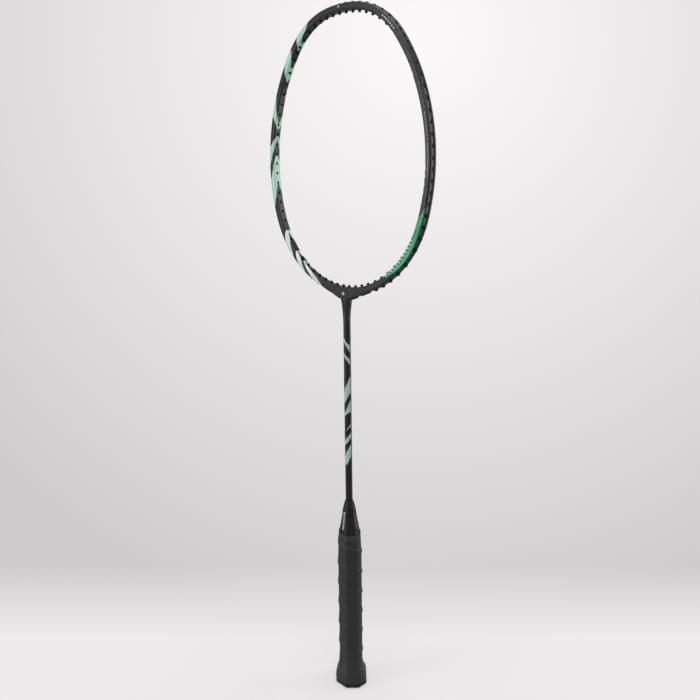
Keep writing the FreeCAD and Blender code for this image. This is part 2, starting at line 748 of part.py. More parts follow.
def t_joint(frame_drills):
    """Internal T piece: arms inside the hoop's hollow and a stem down into the shaft."""
    body = new_body("t_arm")
    path = new_sketch(body, "t_arm_path", "XZ_Plane")
    radius, _, _, centre_x, centre_z = HOOP[0]
    sweep = math.radians(size("t_arm_sweep"))
    circle = Part.Circle(Vector(centre_x, centre_z, 0), UP, radius)
    path.addGeometry(Part.ArcOfCircle(circle, -math.pi / 2, -math.pi / 2 + sweep))
    path.addConstraint(Sketcher.Constraint("PointOnObject", 0, 1, -2))
    path.addConstraint(Sketcher.Constraint("PointOnObject", 0, 3, -2))
    fix(path, "Radius", 0, cell("hoop_radius_bottom"))
    fix(path, "Angle", 0, f"{cell('t_arm_sweep')} * 1 deg")
    fix(path, "DistanceY", -1, 1, 0, 1, cell("hoop_bottom"))
    section = new_sketch(body, "t_arm_section", "YZ_Plane")
    inset = f"({cell('tube_wall')} + {cell('t_arm_gap')})"
    low = f"{cell('hoop_bottom')} - {cell('tube_half_width')} + {cell('groove_depth')} + {inset}"
    high = f"{cell('hoop_bottom')} + {cell('tube_half_width')} - {inset}"
    add_rounded_box(section, low, high, f"({cell('tube_half_depth')} - {inset})", cell("cavity_corner"))
    arm = feature(body, "AdditivePipe", "t_arm_tube", section)
    arm.Spine = (path, ["Edge1"])
    stem = doc.addObject("Part::Cylinder", "t_stem")
    stem.setExpression("Radius", cell("spigot_radius"))
    stem.setExpression("Height", f"{cell('hoop_bottom')} - {cell('spigot_bottom')}")
    stem.setExpression("Placement.Base.z", cell("spigot_bottom"))
    whole = joined("Part::MultiFuse", "t_joint_blank", [body, mirrored(body, "t_other_arm"), stem])
    return cut("t_joint", whole, frame_drills)


def shaft():
    """Straight tube, butted against the neck over the T joint's stem and glued into the handle."""
    body = new_body("shaft")
    section = new_sketch(body, "shaft_section", offset=cell("shaft_bottom"))
    add_circle(section, cell("shaft_radius"))
    add_circle(section, cell("shaft_bore_radius"))
    pad(body, "shaft_tube", section, f"{cell('neck_bottom')} - {cell('shaft_bottom')}")
    return body


# ---------------------------------------------------------------- handle


def turned_outline(body, kind, name, corners):
    """Solid or cut turned about the long axis, from corners given as radius and height."""
    profile = new_sketch(body, f"{name}_profile", "XZ_Plane")
    add_outline(profile, corners)
    turned(body, kind, name, profile)


def handle_core(pin_holes):
    """Wooden octagon with a turned top for the cone, a socket for the shaft and a butt bore."""
    body = new_body("handle_core_blank")
    rebate = new_sketch(body, "core_rebate_section", offset=cell("core_bottom"))
    add_outline(rebate, octagon(f"(-({cell('core_rebate')} + {cell('cap_gap')}))"))
    pad(body, "core_rebate_block", rebate, f"{cell('cap_top')} - {cell('core_bottom')}")
    main = new_sketch(body, "core_section", offset=cell("cap_top"))
    add_outline(main, octagon())
    pad(body, "core_block", main, f"{cell('core_top')} - {cell('cap_top')}")
    taper = [
        ("0", cell("core_top")),
        (cell("taper_radius_low"), cell("core_top")),
        (cell("taper_radius_high"), cell("taper_top")),
        ("0", cell("taper_top")),
    ]
    turned_outline(body, "Revolution", "core_taper", taper)
    socket = f"({cell('shaft_radius')} + {cell('shaft_socket_gap')})"
    bore = [
        ("0", cell("shaft_bottom")),
        (socket, cell("shaft_bottom")),
        (socket, f"{cell('taper_top')} + {PAST}"),
        ("0", f"{cell('taper_top')} + {PAST}"),
    ]
    turned_outline(body, "Groove", "shaft_socket", bore)
    light = [
        ("0", f"{cell('core_bottom')} - {PAST}"),
        (cell("core_bore_radius"), f"{cell('core_bottom')} - {PAST}"),
        (cell("core_bore_radius"), cell("core_bore_top")),
        ("0", cell("core_bore_top")),
    ]
    turned_outline(body, "Groove", "butt_bore", light)
    return cut("handle_core", body, pin_holes)


def cone_cap():
    """Moulded cone: a round nose over a faceted skirt, hollow to fit the core's turned top."""
    body = new_body("cone_cap")
    rim = new_sketch(body, "cone_rim", offset=cell("core_top"))
    add_outline(rim, octagon())
    waist = new_sketch(body, "cone_waist_ring", offset=cell("cone_waist"))
    add_faceted_ring(waist, cell("cone_waist_radius"))
    loft(body, "cone_skirt", [rim, waist])
    nose = new_sketch(body, "cone_nose_profile", "XZ_Plane")
    low = Vector(size("cone_waist_radius"), size("cone_waist"), 0)
    high = Vector(size("cone_top_radius"), size("cone_top"), 0)
    chord = high - low
    bulge = size("cone_bulge_radius")
    side = Vector(-chord.y, chord.x, 0).normalize() * math.sqrt(bulge**2 - (chord.Length / 2) ** 2)
    centre = (low + high) * 0.5 + side
    begin = math.atan2(low.y - centre.y, low.x - centre.x)
    finish = math.atan2(high.y - centre.y, high.x - centre.x)
    arc = nose.addGeometry(Part.ArcOfCircle(Part.Circle(centre, UP, bulge), begin, finish))
    lid = nose.addGeometry(Part.LineSegment(high, Vector(0, high.y, 0)))
    axis = nose.addGeometry(Part.LineSegment(Vector(0, high.y, 0), Vector(0, low.y, 0)))
    base = nose.addGeometry(Part.LineSegment(Vector(0, low.y, 0), low))
    for one, start_of in ((arc, lid), (lid, axis), (axis, base), (base, arc)):
        nose.addConstraint(Sketcher.Constraint("Coincident", one, 2, start_of, 1))
    pin(nose, arc, 1, cell("cone_waist_radius"), cell("cone_waist"))
    pin(nose, arc, 2, cell("cone_top_radius"), cell("cone_top"))
    pin(nose, axis, 1, "0", cell("cone_top"))
    pin(nose, axis, 2, "0", cell("cone_waist"))
    fix(nose, "Radius", arc, cell("cone_bulge_radius"))
    turned(body, "Revolution", "cone_nose", nose)
    gap = cell("shaft_socket_gap")
    bore = f"({cell('shaft_radius')} + {gap})"
    hollow = [
        ("0", f"{cell('core_top')} - {PAST}"),
        (f"{cell('taper_radius_low')} + {gap}", f"{cell('core_top')} - {PAST}"),
        (f"{cell('taper_radius_low')} + {gap}", cell("core_top")),
        (f"{cell('taper_radius_high')} + {gap}", f"{cell('taper_top')} + {gap}"),
        (bore, f"{cell('taper_top')} + {gap}"),
        (bore, f"{cell('cone_top')} + {PAST}"),
        ("0", f"{cell('cone_top')} + {PAST}"),
    ]
    turned_outline(body, "Groove", "cone_hollow", hollow)
    return body


def flare_stations(extra):
    """Heights and growths of the butt flare, moved out by an expression."""
    return [
        (cell("cap_low_height"), f"({cell('cap_low_growth')} + {extra})"),
        (cell("cap_mid_height"), f"({cell('cap_mid_growth')} + {extra})"),
        (cell("cap_high_height"), f"({cell('cap_high_growth')} + {extra})"),
    ]


def butt_cap(pin_holes):
    """Moulded end cap: an octagonal rim, a flare under the grip and a skirt round the core."""
    body = new_body("butt_cap_moulding")
    rim = new_sketch(body, "cap_rim_section")
    add_outline(rim, octagon(cell("cap_growth")))
    pad(body, "cap_rim", rim, cell("cap_rim_height"))
    stations = [(cell("cap_rim_height"), f"({cell('cap_growth')} - {cell('cap_step')})")]
    stations += flare_stations("0") + [(cell("cap_top"), "0")]
    loft(body, "cap_flare", octagon_sections(body, "cap_flare_section", stations))
    mouth = new_sketch(body, "cap_mouth", offset=cell("cap_top"))
    add_outline(mouth, octagon(f"(-{cell('core_rebate')})"))
    pocket(body, "cap_socket", mouth, f"{cell('cap_top')} - {cell('cap_floor')}")
    seat = f"({cell('badge_radius')} + {cell('badge_gap')})"
    depth = f"({cell('badge_thickness')} + {cell('badge_gap')})"
    below = f"-{PAST}"
    recess = [("0", below), (seat, below), (seat, depth), ("0", depth)]
    turned_outline(body, "Groove", "badge_recess", recess)
    doc.recompute()
    half_x = size("core_half_x") + size("cap_growth")
    edges = []
    for number, edge in enumerate(body.Tip.Shape.Edges, start=1):
        straight = edge.Curve.TypeId == "Part::GeomLine"
        on_the_butt = abs(edge.BoundBox.ZMax) < TINY
        if straight and on_the_butt and edge.CenterOfMass.Length > half_x / 2:
            edges.append(f"Edge{number}")
    sharp = body.Tip
    rounding = body.newObject("PartDesign::Fillet", "cap_rounding")
    rounding.Base = (sharp, edges)
    rounding.setExpression("Radius", cell("cap_edge"))
    return cut("butt_cap", body, pin_holes)


def end_badge():
    """Plain round plate set flush in the butt."""
    plate = doc.addObject("Part::Cylinder", "end_badge")
    plate.setExpression("Radius", cell("badge_radius"))
    plate.setExpression("Height", cell("badge_thickness"))
    return plate


def staple_wire(name, wire, crown_depth):
    """U of wire pressed in from the +X side: two legs along X and a crown between them."""
    outer = f"({cell('core_half_x')} - {crown_depth})"
    legs = []
    for side, sign in (("near", "-"), ("far", "")):
        leg = doc.addObject("Part::Cylinder", f"{name}_{side}_leg")
        leg.setExpression("Radius", wire)
        leg.setExpression("Height", cell("staple_leg"))
        leg.Placement = FreeCAD.Placement(Vector(0, 0, 0), FreeCAD.Rotation(UP, -ACROSS))
        leg.setExpression("Placement.Base.x", outer)
        leg.setExpression("Placement.Base.y", f"{sign}{cell('staple_half_span')}")
        leg.setExpression("Placement.Base.z", cell("staple_height"))
        legs.append(leg)
    return legs, outer


def staple_side(name, wire, crown_depth, lip):
    """One staple as a solid, or the hole for it when the wire and crown are given clearance."""
    legs, outer = staple_wire(name, wire, crown_depth)
    crown = doc.addObject("Part::Box", f"{name}_crown")
    crown.setExpression("Length", f"2 * {wire} + {lip}")
    crown.setExpression("Width", f"2 * ({cell('staple_half_span')} + {wire})")
    crown.setExpression("Height", f"2 * {wire}")
    crown.setExpression("Placement.Base.x", f"{outer} - {wire}")
    crown.setExpression("Placement.Base.y", f"-({cell('staple_half_span')} + {wire})")
    crown.setExpression("Placement.Base.z", f"{cell('staple_height')} - {wire}")
    return joined("Part::MultiFuse", name, legs + [crown])


def cap_staples():
    """Two staples that pin the butt cap to the core, one in each broad side."""
    one = staple_side("staple", cell("staple_wire_radius"), cell("staple_wire_radius"), "0")
    return joined("Part::Compound", "cap_staples", [one, mirrored(one, "staple_other_side")])


def staple_holes():
    """Holes for both staples, shared by the cap and the core."""
    wire = f"({cell('staple_wire_radius')} + {cell('staple_gap')})"
    one = staple_side("staple_hole", wire, cell("staple_wire_radius"), str(STAPLE_HOLE_LIP))
    return joined("Part::Compound", "staple_holes", [one, mirrored(one, "staple_other_hole")])


def sleeve(name, outer_stations, inner_stations):
    """Closed octagonal sleeve between two stacks of octagons."""
    outer = new_body(f"{name}_outside")
    loft(outer, f"{name}_outer_loft", octagon_sections(outer, f"{name}_outer", outer_stations))
    inner = new_body(f"{name}_inside")
    loft(inner, f"{name}_inner_loft", octagon_sections(inner, f"{name}_inner", inner_stations))
    return cut(name, outer, inner)


def grip_wrap():
    """The wound grip as one plain sleeve, flared over the butt cap."""
    full = cell("grip_thickness")
    gap = cell("grip_gap")
    outside = [(cell("grip_bottom"), cell("cap_growth"))] + flare_stations(cell("cap_step"))
    outside += [(cell("grip_flare_height"), full), (cell("grip_shoulder"), full)]
    outside.append((cell("grip_top"), cell("grip_top_thickness")))
    mouth = f"({cell('cap_growth')} - {cell('cap_step')} + {gap})"
    inside = [(f"{cell('grip_bottom')} - {PAST}", mouth)] + flare_stations(gap)
    inside += [(cell("cap_top"), gap), (f"{cell('grip_top')} + {PAST}", gap)]
    return sleeve("grip_wrap", outside, inside)


def finishing_tape():
    """Band that closes the top of the grip, over the end of the core."""
    gap = cell("grip_gap")
    outer = f"({gap} + {cell('tape_thickness')})"
    outside = [(cell("tape_bottom"), outer), (cell("tape_top"), outer)]
    inside = [(f"{cell('tape_bottom')} - {PAST}", gap), (f"{cell('tape_top')} + {PAST}", gap)]
    return sleeve("finishing_tape", outside, inside)


# ---------------------------------------------------------------- grommets


def grommet_group(name, holes):
    return fixed_shape(name, Part.makeCompound([grommet(one) for one in holes]))


def sided_grommets(name, holes):
    """The same row of grommets on the right and on the left, as two objects."""
    right = grommet_group(f"{name}_right", holes)
    return [right, mirrored(right, f"{name}_left")]


def all_grommets():
    crown = both_sides([grommet(one) for one in top_main_holes()])
    nodes = [fixed_shape("crown_grommets", Part.makeCompound(crown))]
    nodes += sided_grommets("shoulder_grommets", shoulder_holes())
    nodes += sided_grommets("side_grommets", cross_holes())
    nodes += sided_grommets("lower_grommets", low_main_holes())
    throat = throat_holes()
    for name, pair in (("inner_bridge_strip", throat[:2]), ("outer_bridge_strip", throat[2:])):
        right = fixed_shape(f"{name}_right", bridge_strip(pair))
        nodes += [right, mirrored(right, f"{name}_left")]
    return nodes


# ---------------------------------------------------------------- assembly

frame_node = head_frame()
pin_holes = staple_holes()
PIECES = {
    "head_frame": frame_node,
    "t_joint": t_joint(doc.getObject("string_hole_drills")),
    "shaft": shaft(),
    "cone_cap": cone_cap(),
    "handle_core": handle_core(pin_holes),
    "butt_cap": butt_cap(pin_holes),
    "end_badge": end_badge(),
    "cap_staples": cap_staples(),
    "grip_wrap": grip_wrap(),
    "finishing_tape": finishing_tape(),
}
PIECES.update({node.Name: node for node in all_grommets()})

doc.recompute()

failed = [item.Name for item in doc.Objects if {"Invalid", "Error"} & set(item.State)]
if failed:
    raise RuntimeError(f"objects that did not recompute: {failed}")

os.makedirs("parts", exist_ok=True)
for name, piece in PIECES.items():
    if piece.Shape.isNull() or not piece.Shape.isValid() or not piece.Shape.Solids:
        raise RuntimeError(f"{name} has no valid solid")
    piece.Label = name
    piece.Shape.exportStep(f"parts/{name}.step")
    print(f"{name}: {len(piece.Shape.Solids)} solid(s), {piece.Shape.Volume:.1f} mm3")
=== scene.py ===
import math

import bmesh
import bpy
from mathutils import Matrix, Vector
from mathutils.bvhtree import BVHTree


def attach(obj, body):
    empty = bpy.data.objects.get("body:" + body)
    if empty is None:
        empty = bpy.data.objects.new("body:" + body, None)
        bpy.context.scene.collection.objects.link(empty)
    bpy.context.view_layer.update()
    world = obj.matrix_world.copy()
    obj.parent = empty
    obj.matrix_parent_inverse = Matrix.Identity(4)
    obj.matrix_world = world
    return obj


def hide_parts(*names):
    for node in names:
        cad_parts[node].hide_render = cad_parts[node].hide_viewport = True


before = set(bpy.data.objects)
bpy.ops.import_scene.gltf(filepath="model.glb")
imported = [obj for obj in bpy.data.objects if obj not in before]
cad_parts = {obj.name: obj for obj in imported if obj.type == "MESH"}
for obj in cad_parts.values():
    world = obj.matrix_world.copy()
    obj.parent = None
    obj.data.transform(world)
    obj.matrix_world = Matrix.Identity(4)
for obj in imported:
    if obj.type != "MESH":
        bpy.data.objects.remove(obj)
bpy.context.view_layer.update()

# ---------------------------------------------------------------- sizes, in metres and degrees
MM = 0.001

# The hoop's centre line: arcs from the bottom centre upwards, mirrored to the other side.
HOOP_BOTTOM = 422.35 * MM
HOOP_ARCS = ((98.1 * MM, 73.0), (166.9 * MM, 54.7), (74.215 * MM, 45.5), (137.9 * MM, 6.8))
TUBE_HALF_WIDTH = 3.15 * MM
TUBE_HALF_DEPTH = 4.4 * MM
TUBE_CORNER = 1.8 * MM

# The shaft and the handle.
SHAFT_RADIUS = 3.5 * MM
CORE_HALF_X = 11.9 * MM
CORE_HALF_Y = 9.9 * MM
CORE_CORNER_CUT = 6.81 * MM
GRIP_LOW, GRIP_TOP = 5.15 * MM, 166.8 * MM
TAPE_LOW, TAPE_TOP = 166.9 * MM, 173.7 * MM

# Growth over the core's octagon, by height: the grip's outside, and the cap's flare under it.
GRIP_OUTSIDE = (
    (5.15 * MM, 5.4 * MM), (9.3 * MM, 5.65 * MM), (15.8 * MM, 4.45 * MM), (20.7 * MM, 2.6 * MM),
    (26.5 * MM, 1.6 * MM), (152.0 * MM, 1.6 * MM), (166.8 * MM, 0.9 * MM),
)
CAP_FLARE = (
    (5.0 * MM, 4.1 * MM), (9.3 * MM, 4.35 * MM), (15.8 * MM, 3.15 * MM), (20.7 * MM, 1.3 * MM),
    (26.0 * MM, 0.0),
)
WRAP_GAP = 0.12 * MM
WINDING_PITCH = 22.6 * MM
SEAM_HEIGHT = 37.9 * MM
SEAM_BEARING = math.radians(45.7)
BAND_THICKNESS = 0.6 * MM
BAND_OVERLAP = 2.2 * MM
BAND_EDGE, BAND_FADE = 0.4 * MM, 2.5 * MM
BAND_SETTLING = 0.15 * MM
BEAD_HEIGHT, BEAD_PLACE, BEAD_WIDTH = 0.14 * MM, 0.5 * MM, 0.4 * MM
GRIP_LIP = 0.35 * MM
TAPE_PITCH = 2.7 * MM
TAPE_OUTSIDE = 0.45 * MM
TAPE_THICKNESS = 0.14 * MM
TAPE_EDGE, TAPE_FADE = 0.16 * MM, 1.8 * MM
TAPE_LIP = 0.1 * MM

# Mesh of the wraps: rows of one turn, in millimetres up from its seam, and points round the handle.
GRIP_ROWS = (-0.4, -0.2, -0.06, 0.06, 0.2, 0.4, 0.8, 1.4, 2.0, 2.6, 3.2, 3.9)
GRIP_ROWS += tuple(5.0 + 1.2 * k for k in range(14)) + (21.6,)
TAPE_ROWS = (-0.12, -0.04, 0.04, 0.12, 0.4, 0.8, 1.2, 1.6, 2.0, 2.35)
WRAP_COLUMNS = 180
WRAP_STEP = 2.0 * math.pi / WRAP_COLUMNS
SOFT_CORNERS = 16.0
TIGHT_CORNERS = 60.0
LIP_STEPS = 4
INSIDE_STEPS = 40

# Printed graphics stand this far out of the lacquer, and reach this far into it.
PRINT_LIFT = 0.11 * MM
PRINT_ROOT = 0.12 * MM
# A second colour over the first stands slightly further out, and plain ticks over both further still.
OVERPRINT_LIFT = 0.14 * MM
TICK_LIFT = 0.17 * MM
THROAT_DOT = 419.7 * MM
THROAT_DOT_RADII = (0.4 * MM, 1.5 * MM)
THROAT_DOT_POINTS = 24
HOOP_MIDDLE = Vector((0.0, 0.0, 545.0 * MM))
BARREL_RADIUS = 1.1 * MM
NEAR_GROMMET = 10.0 * MM
WELD_REACH = 1e-7

# The camera.
CAMERA_PLACE = Vector((0.50203, -0.49001, 0.52367))
CAMERA_HEADING = math.radians(45.477)
CAMERA_PITCH = math.radians(12.816)
CAMERA_ROLL = math.radians(-0.694)
CAMERA_LENS = 38.19
VIEW_BEARING = math.atan2(CAMERA_PLACE.y, CAMERA_PLACE.x)

# The studio: the floor's disc, the point that the lamps face, and each lamp as name, bearing in degrees
# from the camera's, distance, height, (width, height) of its panel, and power.
FLOOR_RADIUS, FLOOR_RINGS, FLOOR_SPOKES = 0.9, 12, 96
LAMP_AIM = Vector((0.0, 0.0, 0.36))
LAMPS = (
    ("right_softbox", 96.0, 1.3, 0.55, (0.5, 1.5), 7.0),
    ("left_softbox", -70.0, 1.5, 0.6, (0.6, 1.4), 9.0),
    ("front_fill", 8.0, 1.9, 1.5, (1.2, 1.0), 6.0),
    ("overhead", 0.0, 0.15, 1.9, (1.4, 1.4), 14.0),
)


# ---------------------------------------------------------------- small mesh and node helpers
def add_mesh(name, points, faces, material, sharp_degrees):
    """A closed, smooth-shaded mesh object that rides on the racket."""
    mesh = bpy.data.meshes.new(name)
    mesh.from_pydata([tuple(p) for p in points], [], faces)
    work = bmesh.new()
    work.from_mesh(mesh)
    bmesh.ops.remove_doubles(work, verts=work.verts, dist=WELD_REACH)
    bmesh.ops.dissolve_degenerate(work, dist=WELD_REACH, edges=work.edges)
    unused = [vertex for vertex in work.verts if not vertex.link_faces]
    bmesh.ops.delete(work, geom=unused, context="VERTS")
    bmesh.ops.recalc_face_normals(work, faces=work.faces)
    work.to_mesh(mesh)
    work.free()
    mesh.polygons.foreach_set("use_smooth", [True] * len(mesh.polygons))
    mesh.set_sharp_from_angle(angle=math.radians(sharp_degrees))
    mesh.materials.append(material)
    made = bpy.data.objects.new(name, mesh)
    bpy.context.scene.collection.objects.link(made)
    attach(made, "root")
    return made


def new_material(name):
    """A material, its node tree and its Principled node."""
    made = bpy.data.materials.new(name)
    made.use_nodes = True
    tree = made.node_tree
    return made, tree, tree.nodes["Principled BSDF"]


def object_place(tree, stretch=(1.0, 1.0, 1.0)):
    """Object coordinates, stretched so that a pattern can run along the piece."""
    place = tree.nodes.new("ShaderNodeTexCoord")
    mapping = tree.nodes.new("ShaderNodeMapping")
    mapping.inputs["Scale"].default_value = stretch
    tree.links.new(place.outputs["Object"], mapping.inputs["Vector"])
    return mapping.outputs["Vector"]


def add_noise(tree, scale, detail=3.0, roughness=0.55, stretch=(1.0, 1.0, 1.0)):
    """Output of a noise pattern fixed to the piece."""
    noise = tree.nodes.new("ShaderNodeTexNoise")
    noise.inputs["Scale"].default_value = scale
    noise.inputs["Detail"].default_value = detail
    noise.inputs["Roughness"].default_value = roughness
    tree.links.new(object_place(tree, stretch), noise.inputs["Vector"])
    return noise.outputs["Fac"]


def add_range(tree, source, low, high, from_low=0.3, from_high=0.7):
    """Output that runs from low to high while the source runs between its own two limits."""
    spread = tree.nodes.new("ShaderNodeMapRange")
    spread.inputs["From Min"].default_value = from_low
    spread.inputs["From Max"].default_value = from_high
    spread.inputs["To Min"].default_value = low
    spread.inputs["To Max"].default_value = high
    tree.links.new(source, spread.inputs["Value"])
    return spread.outputs["Result"]


def add_colours(tree, source, first, second, low=0.35, high=0.65):
    """Output colour that runs from the first to the second with the source."""
    ramp = tree.nodes.new("ShaderNodeValToRGB")
    ramp.color_ramp.elements[0].position = low
    ramp.color_ramp.elements[0].color = (*first, 1.0)
    ramp.color_ramp.elements[1].position = high
    ramp.color_ramp.elements[1].color = (*second, 1.0)
    tree.links.new(source, ramp.inputs["Fac"])
    return ramp.outputs["Color"]


def add_bump(tree, shader, height, strength, distance):
    """Fine relief from a height pattern, on top of the mesh's own shape."""
    bump = tree.nodes.new("ShaderNodeBump")
    bump.inputs["Strength"].default_value = strength
    bump.inputs["Distance"].default_value = distance
    tree.links.new(height, bump.inputs["Height"])
    tree.links.new(bump.outputs["Normal"], shader.inputs["Normal"])


# ---------------------------------------------------------------- materials
def lacquer(name, dark, light, rough_low, rough_high, coat):
    """Sprayed lacquer: fine flakes in the colour, orange peel in the surface, a clear coat over it."""
    made, tree, shader = new_material(name)
    flakes = add_noise(tree, 9000.0, 2.0)
    tree.links.new(add_colours(tree, flakes, dark, light), shader.inputs["Base Color"])
    cloud = add_noise(tree, 160.0, 4.0)
    tree.links.new(add_range(tree, cloud, rough_low, rough_high), shader.inputs["Roughness"])
    shader.inputs["Coat Weight"].default_value = coat
    shader.inputs["Specular IOR Level"].default_value = 0.4
    shader.inputs["Coat Roughness"].default_value = 0.22
    add_bump(tree, shader, add_noise(tree, 500.0, 2.0), 0.06, 0.02 * MM)
    return made


def moulded(name, dark, light, rough_low, rough_high, grain_scale, grain_depth):
    """Moulded plastic: a spark-eroded grain and a faint colour variation."""
    made, tree, shader = new_material(name)
    tone = add_noise(tree, 220.0, 4.0)
    tree.links.new(add_colours(tree, tone, dark, light), shader.inputs["Base Color"])
    tree.links.new(add_range(tree, tone, rough_low, rough_high), shader.inputs["Roughness"])
    shader.inputs["Specular IOR Level"].default_value = 0.32
    add_bump(tree, shader, add_noise(tree, grain_scale, 3.0), 0.35, grain_depth)
    return made


def printed(name, dark, light, roughness):
    """Screen-printed colour under the clear coat, with a slight unevenness of the ink."""
    made, tree, shader = new_material(name)
    ink = add_noise(tree, 700.0, 4.0, stretch=(1.0, 1.0, 0.25))
    tree.links.new(add_colours(tree, ink, dark, light, 0.3, 0.7), shader.inputs["Base Color"])
    tree.links.new(add_range(tree, ink, roughness - 0.05, roughness + 0.08), shader.inputs["Roughness"])
    shader.inputs["Coat Weight"].default_value = 0.4
    shader.inputs["Coat Roughness"].default_value = 0.2
    add_bump(tree, shader, add_noise(tree, 1400.0, 2.0), 0.08, 0.02 * MM)
    return made


def grip_material():
    """Smooth polyurethane band: pressed grain, faint creases along the winding, a soft sheen."""
    made, tree, shader = new_material("grip_polyurethane")
    tone = add_noise(tree, 90.0, 5.0, stretch=(1.0, 1.0, 2.2))
    tree.links.new(
        add_colours(tree, tone, (0.014, 0.014, 0.0145), (0.023, 0.0225, 0.023)),
        shader.inputs["Base Color"],
    )
    tree.links.new(add_range(tree, tone, 0.46, 0.6), shader.inputs["Roughness"])
    shader.inputs["Sheen Weight"].default_value = 0.12
    shader.inputs["Sheen Roughness"].default_value = 0.4
    grain = add_noise(tree, 2600.0, 3.0)
    creases = add_noise(tree, 260.0, 4.0, stretch=(1.0, 1.0, 3.5))
    both = tree.nodes.new("ShaderNodeMath")
    both.operation = "MULTIPLY_ADD"
    both.inputs[1].default_value = 2.0
    tree.links.new(creases, both.inputs[0])
    tree.links.new(grain, both.inputs[2])
    add_bump(tree, shader, both.outputs["Value"], 0.4, 0.05 * MM)
    return made


def tape_material():
    """Thin stretched tape: close ribs round the handle."""
    made, tree, shader = new_material("stretch_tape")
    tone = add_noise(tree, 150.0, 4.0)
    tree.links.new(
        add_colours(tree, tone, (0.028, 0.028, 0.029), (0.040, 0.039, 0.040)),
        shader.inputs["Base Color"],
    )
    tree.links.new(add_range(tree, tone, 0.5, 0.62), shader.inputs["Roughness"])
    ribs = tree.nodes.new("ShaderNodeTexWave")
    ribs.bands_direction = "Z"
    ribs.inputs["Scale"].default_value = 420.0
    ribs.inputs["Distortion"].default_value = 1.2
    tree.links.new(object_place(tree), ribs.inputs["Vector"])
    add_bump(tree, shader, ribs.outputs["Fac"], 0.35, 0.05 * MM)
    return made


def wood_material():
    """Light handle wood with its grain along the handle."""
    made, tree, shader = new_material("handle_wood")
    grain = add_noise(tree, 420.0, 6.0, 0.6, stretch=(1.0, 1.0, 0.06))
    tree.links.new(
        add_colours(tree, grain, (0.46, 0.31, 0.17), (0.66, 0.48, 0.30)), shader.inputs["Base Color"]
    )
    tree.links.new(add_range(tree, grain, 0.55, 0.75), shader.inputs["Roughness"])
    add_bump(tree, shader, grain, 0.3, 0.1 * MM)
    return made


def wire_material():
    """Drawn steel wire with fine lengthwise scratches."""
    made, tree, shader = new_material("staple_wire")
    scratches = add_noise(tree, 3000.0, 3.0, stretch=(1.0, 1.0, 0.1))
    tree.links.new(
        add_colours(tree, scratches, (0.45, 0.45, 0.47), (0.62, 0.62, 0.64)), shader.inputs["Base Color"]
    )
    shader.inputs["Metallic"].default_value = 1.0
    tree.links.new(add_range(tree, scratches, 0.3, 0.45), shader.inputs["Roughness"])
    return made


FRAME_COAT = lacquer(
    "frame_lacquer", (0.013, 0.0125, 0.0135), (0.022, 0.021, 0.0225), 0.30, 0.40, 0.2,
)
SHAFT_COAT = lacquer(
    "shaft_lacquer", (0.005, 0.005, 0.0055), (0.010, 0.0095, 0.010), 0.30, 0.40, 0.15,
)
CONE_PLASTIC = moulded(
    "cone_plastic", (0.006, 0.006, 0.0065), (0.011, 0.011, 0.0115), 0.4, 0.5, 1800.0, 0.03 * MM,
)
CAP_PLASTIC = moulded(
    "cap_plastic", (0.010, 0.010, 0.010), (0.016, 0.0155, 0.0155), 0.5, 0.62, 2200.0, 0.05 * MM,
)
BADGE_PLASTIC = moulded(
    "badge_plastic", (0.05, 0.05, 0.055), (0.08, 0.08, 0.085), 0.3, 0.4, 1500.0, 0.02 * MM,
)
CORE_COMPOSITE = moulded(
    "joint_composite", (0.05, 0.05, 0.05), (0.09, 0.09, 0.09), 0.5, 0.7, 900.0, 0.05 * MM,
)
NYLON = moulded(
    "grommet_nylon", (0.003, 0.003, 0.0035), (0.006, 0.006, 0.0065), 0.5, 0.6, 2600.0, 0.02 * MM,
)
MINT = printed("mint_print", (0.40, 0.72, 0.55), (0.50, 0.80, 0.63), 0.4)
PALE_MINT = printed("pale_mint_print", (0.60, 0.80, 0.70), (0.72, 0.88, 0.80), 0.4)
EMERALD = printed("emerald_print", (0.0, 0.27, 0.075), (0.003, 0.36, 0.11), 0.42)
# Also carries the painted highlight along the emerald band's outer part.
LIGHT_GREEN = printed("light_green_print", (0.06, 0.46, 0.22), (0.12, 0.56, 0.30), 0.36)
SHAFT_MINT = printed("shaft_mint_print", (0.36, 0.56, 0.45), (0.46, 0.66, 0.54), 0.38)
# Painted shade: a darker copy of the shaft's mint, for the bars' ends where the shaft turns from the light.
SHAFT_SHADE_TEAL = printed("shaft_painted_shade_print", (0.025, 0.075, 0.05), (0.04, 0.1, 0.07), 0.38)
SILVER_PRINT = printed("silver_print", (0.24, 0.24, 0.24), (0.36, 0.36, 0.36), 0.35)
FAINT_PRINT = printed("faint_print", (0.06, 0.06, 0.062), (0.09, 0.09, 0.092), 0.4)
WHITE_PRINT = printed("white_print", (0.56, 0.56, 0.56), (0.68, 0.68, 0.68), 0.35)

NODE_MATERIALS = {
    "head_frame": FRAME_COAT,
    "shaft": SHAFT_COAT,
    "cone_cap": CONE_PLASTIC,
    "butt_cap": CAP_PLASTIC,
    "end_badge": BADGE_PLASTIC,
    "t_joint": CORE_COMPOSITE,
    "handle_core": wood_material(),
    "cap_staples": wire_material(),
}


def dress_cad_nodes():
    """Gives every carried-over CAD node its material: nylon on the grommets and bridge strips."""
    for name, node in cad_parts.items():
        material = NODE_MATERIALS.get(name, NYLON)
        if not node.material_slots:
            node.data.materials.append(material)
        for place in node.material_slots:
            place.material = material


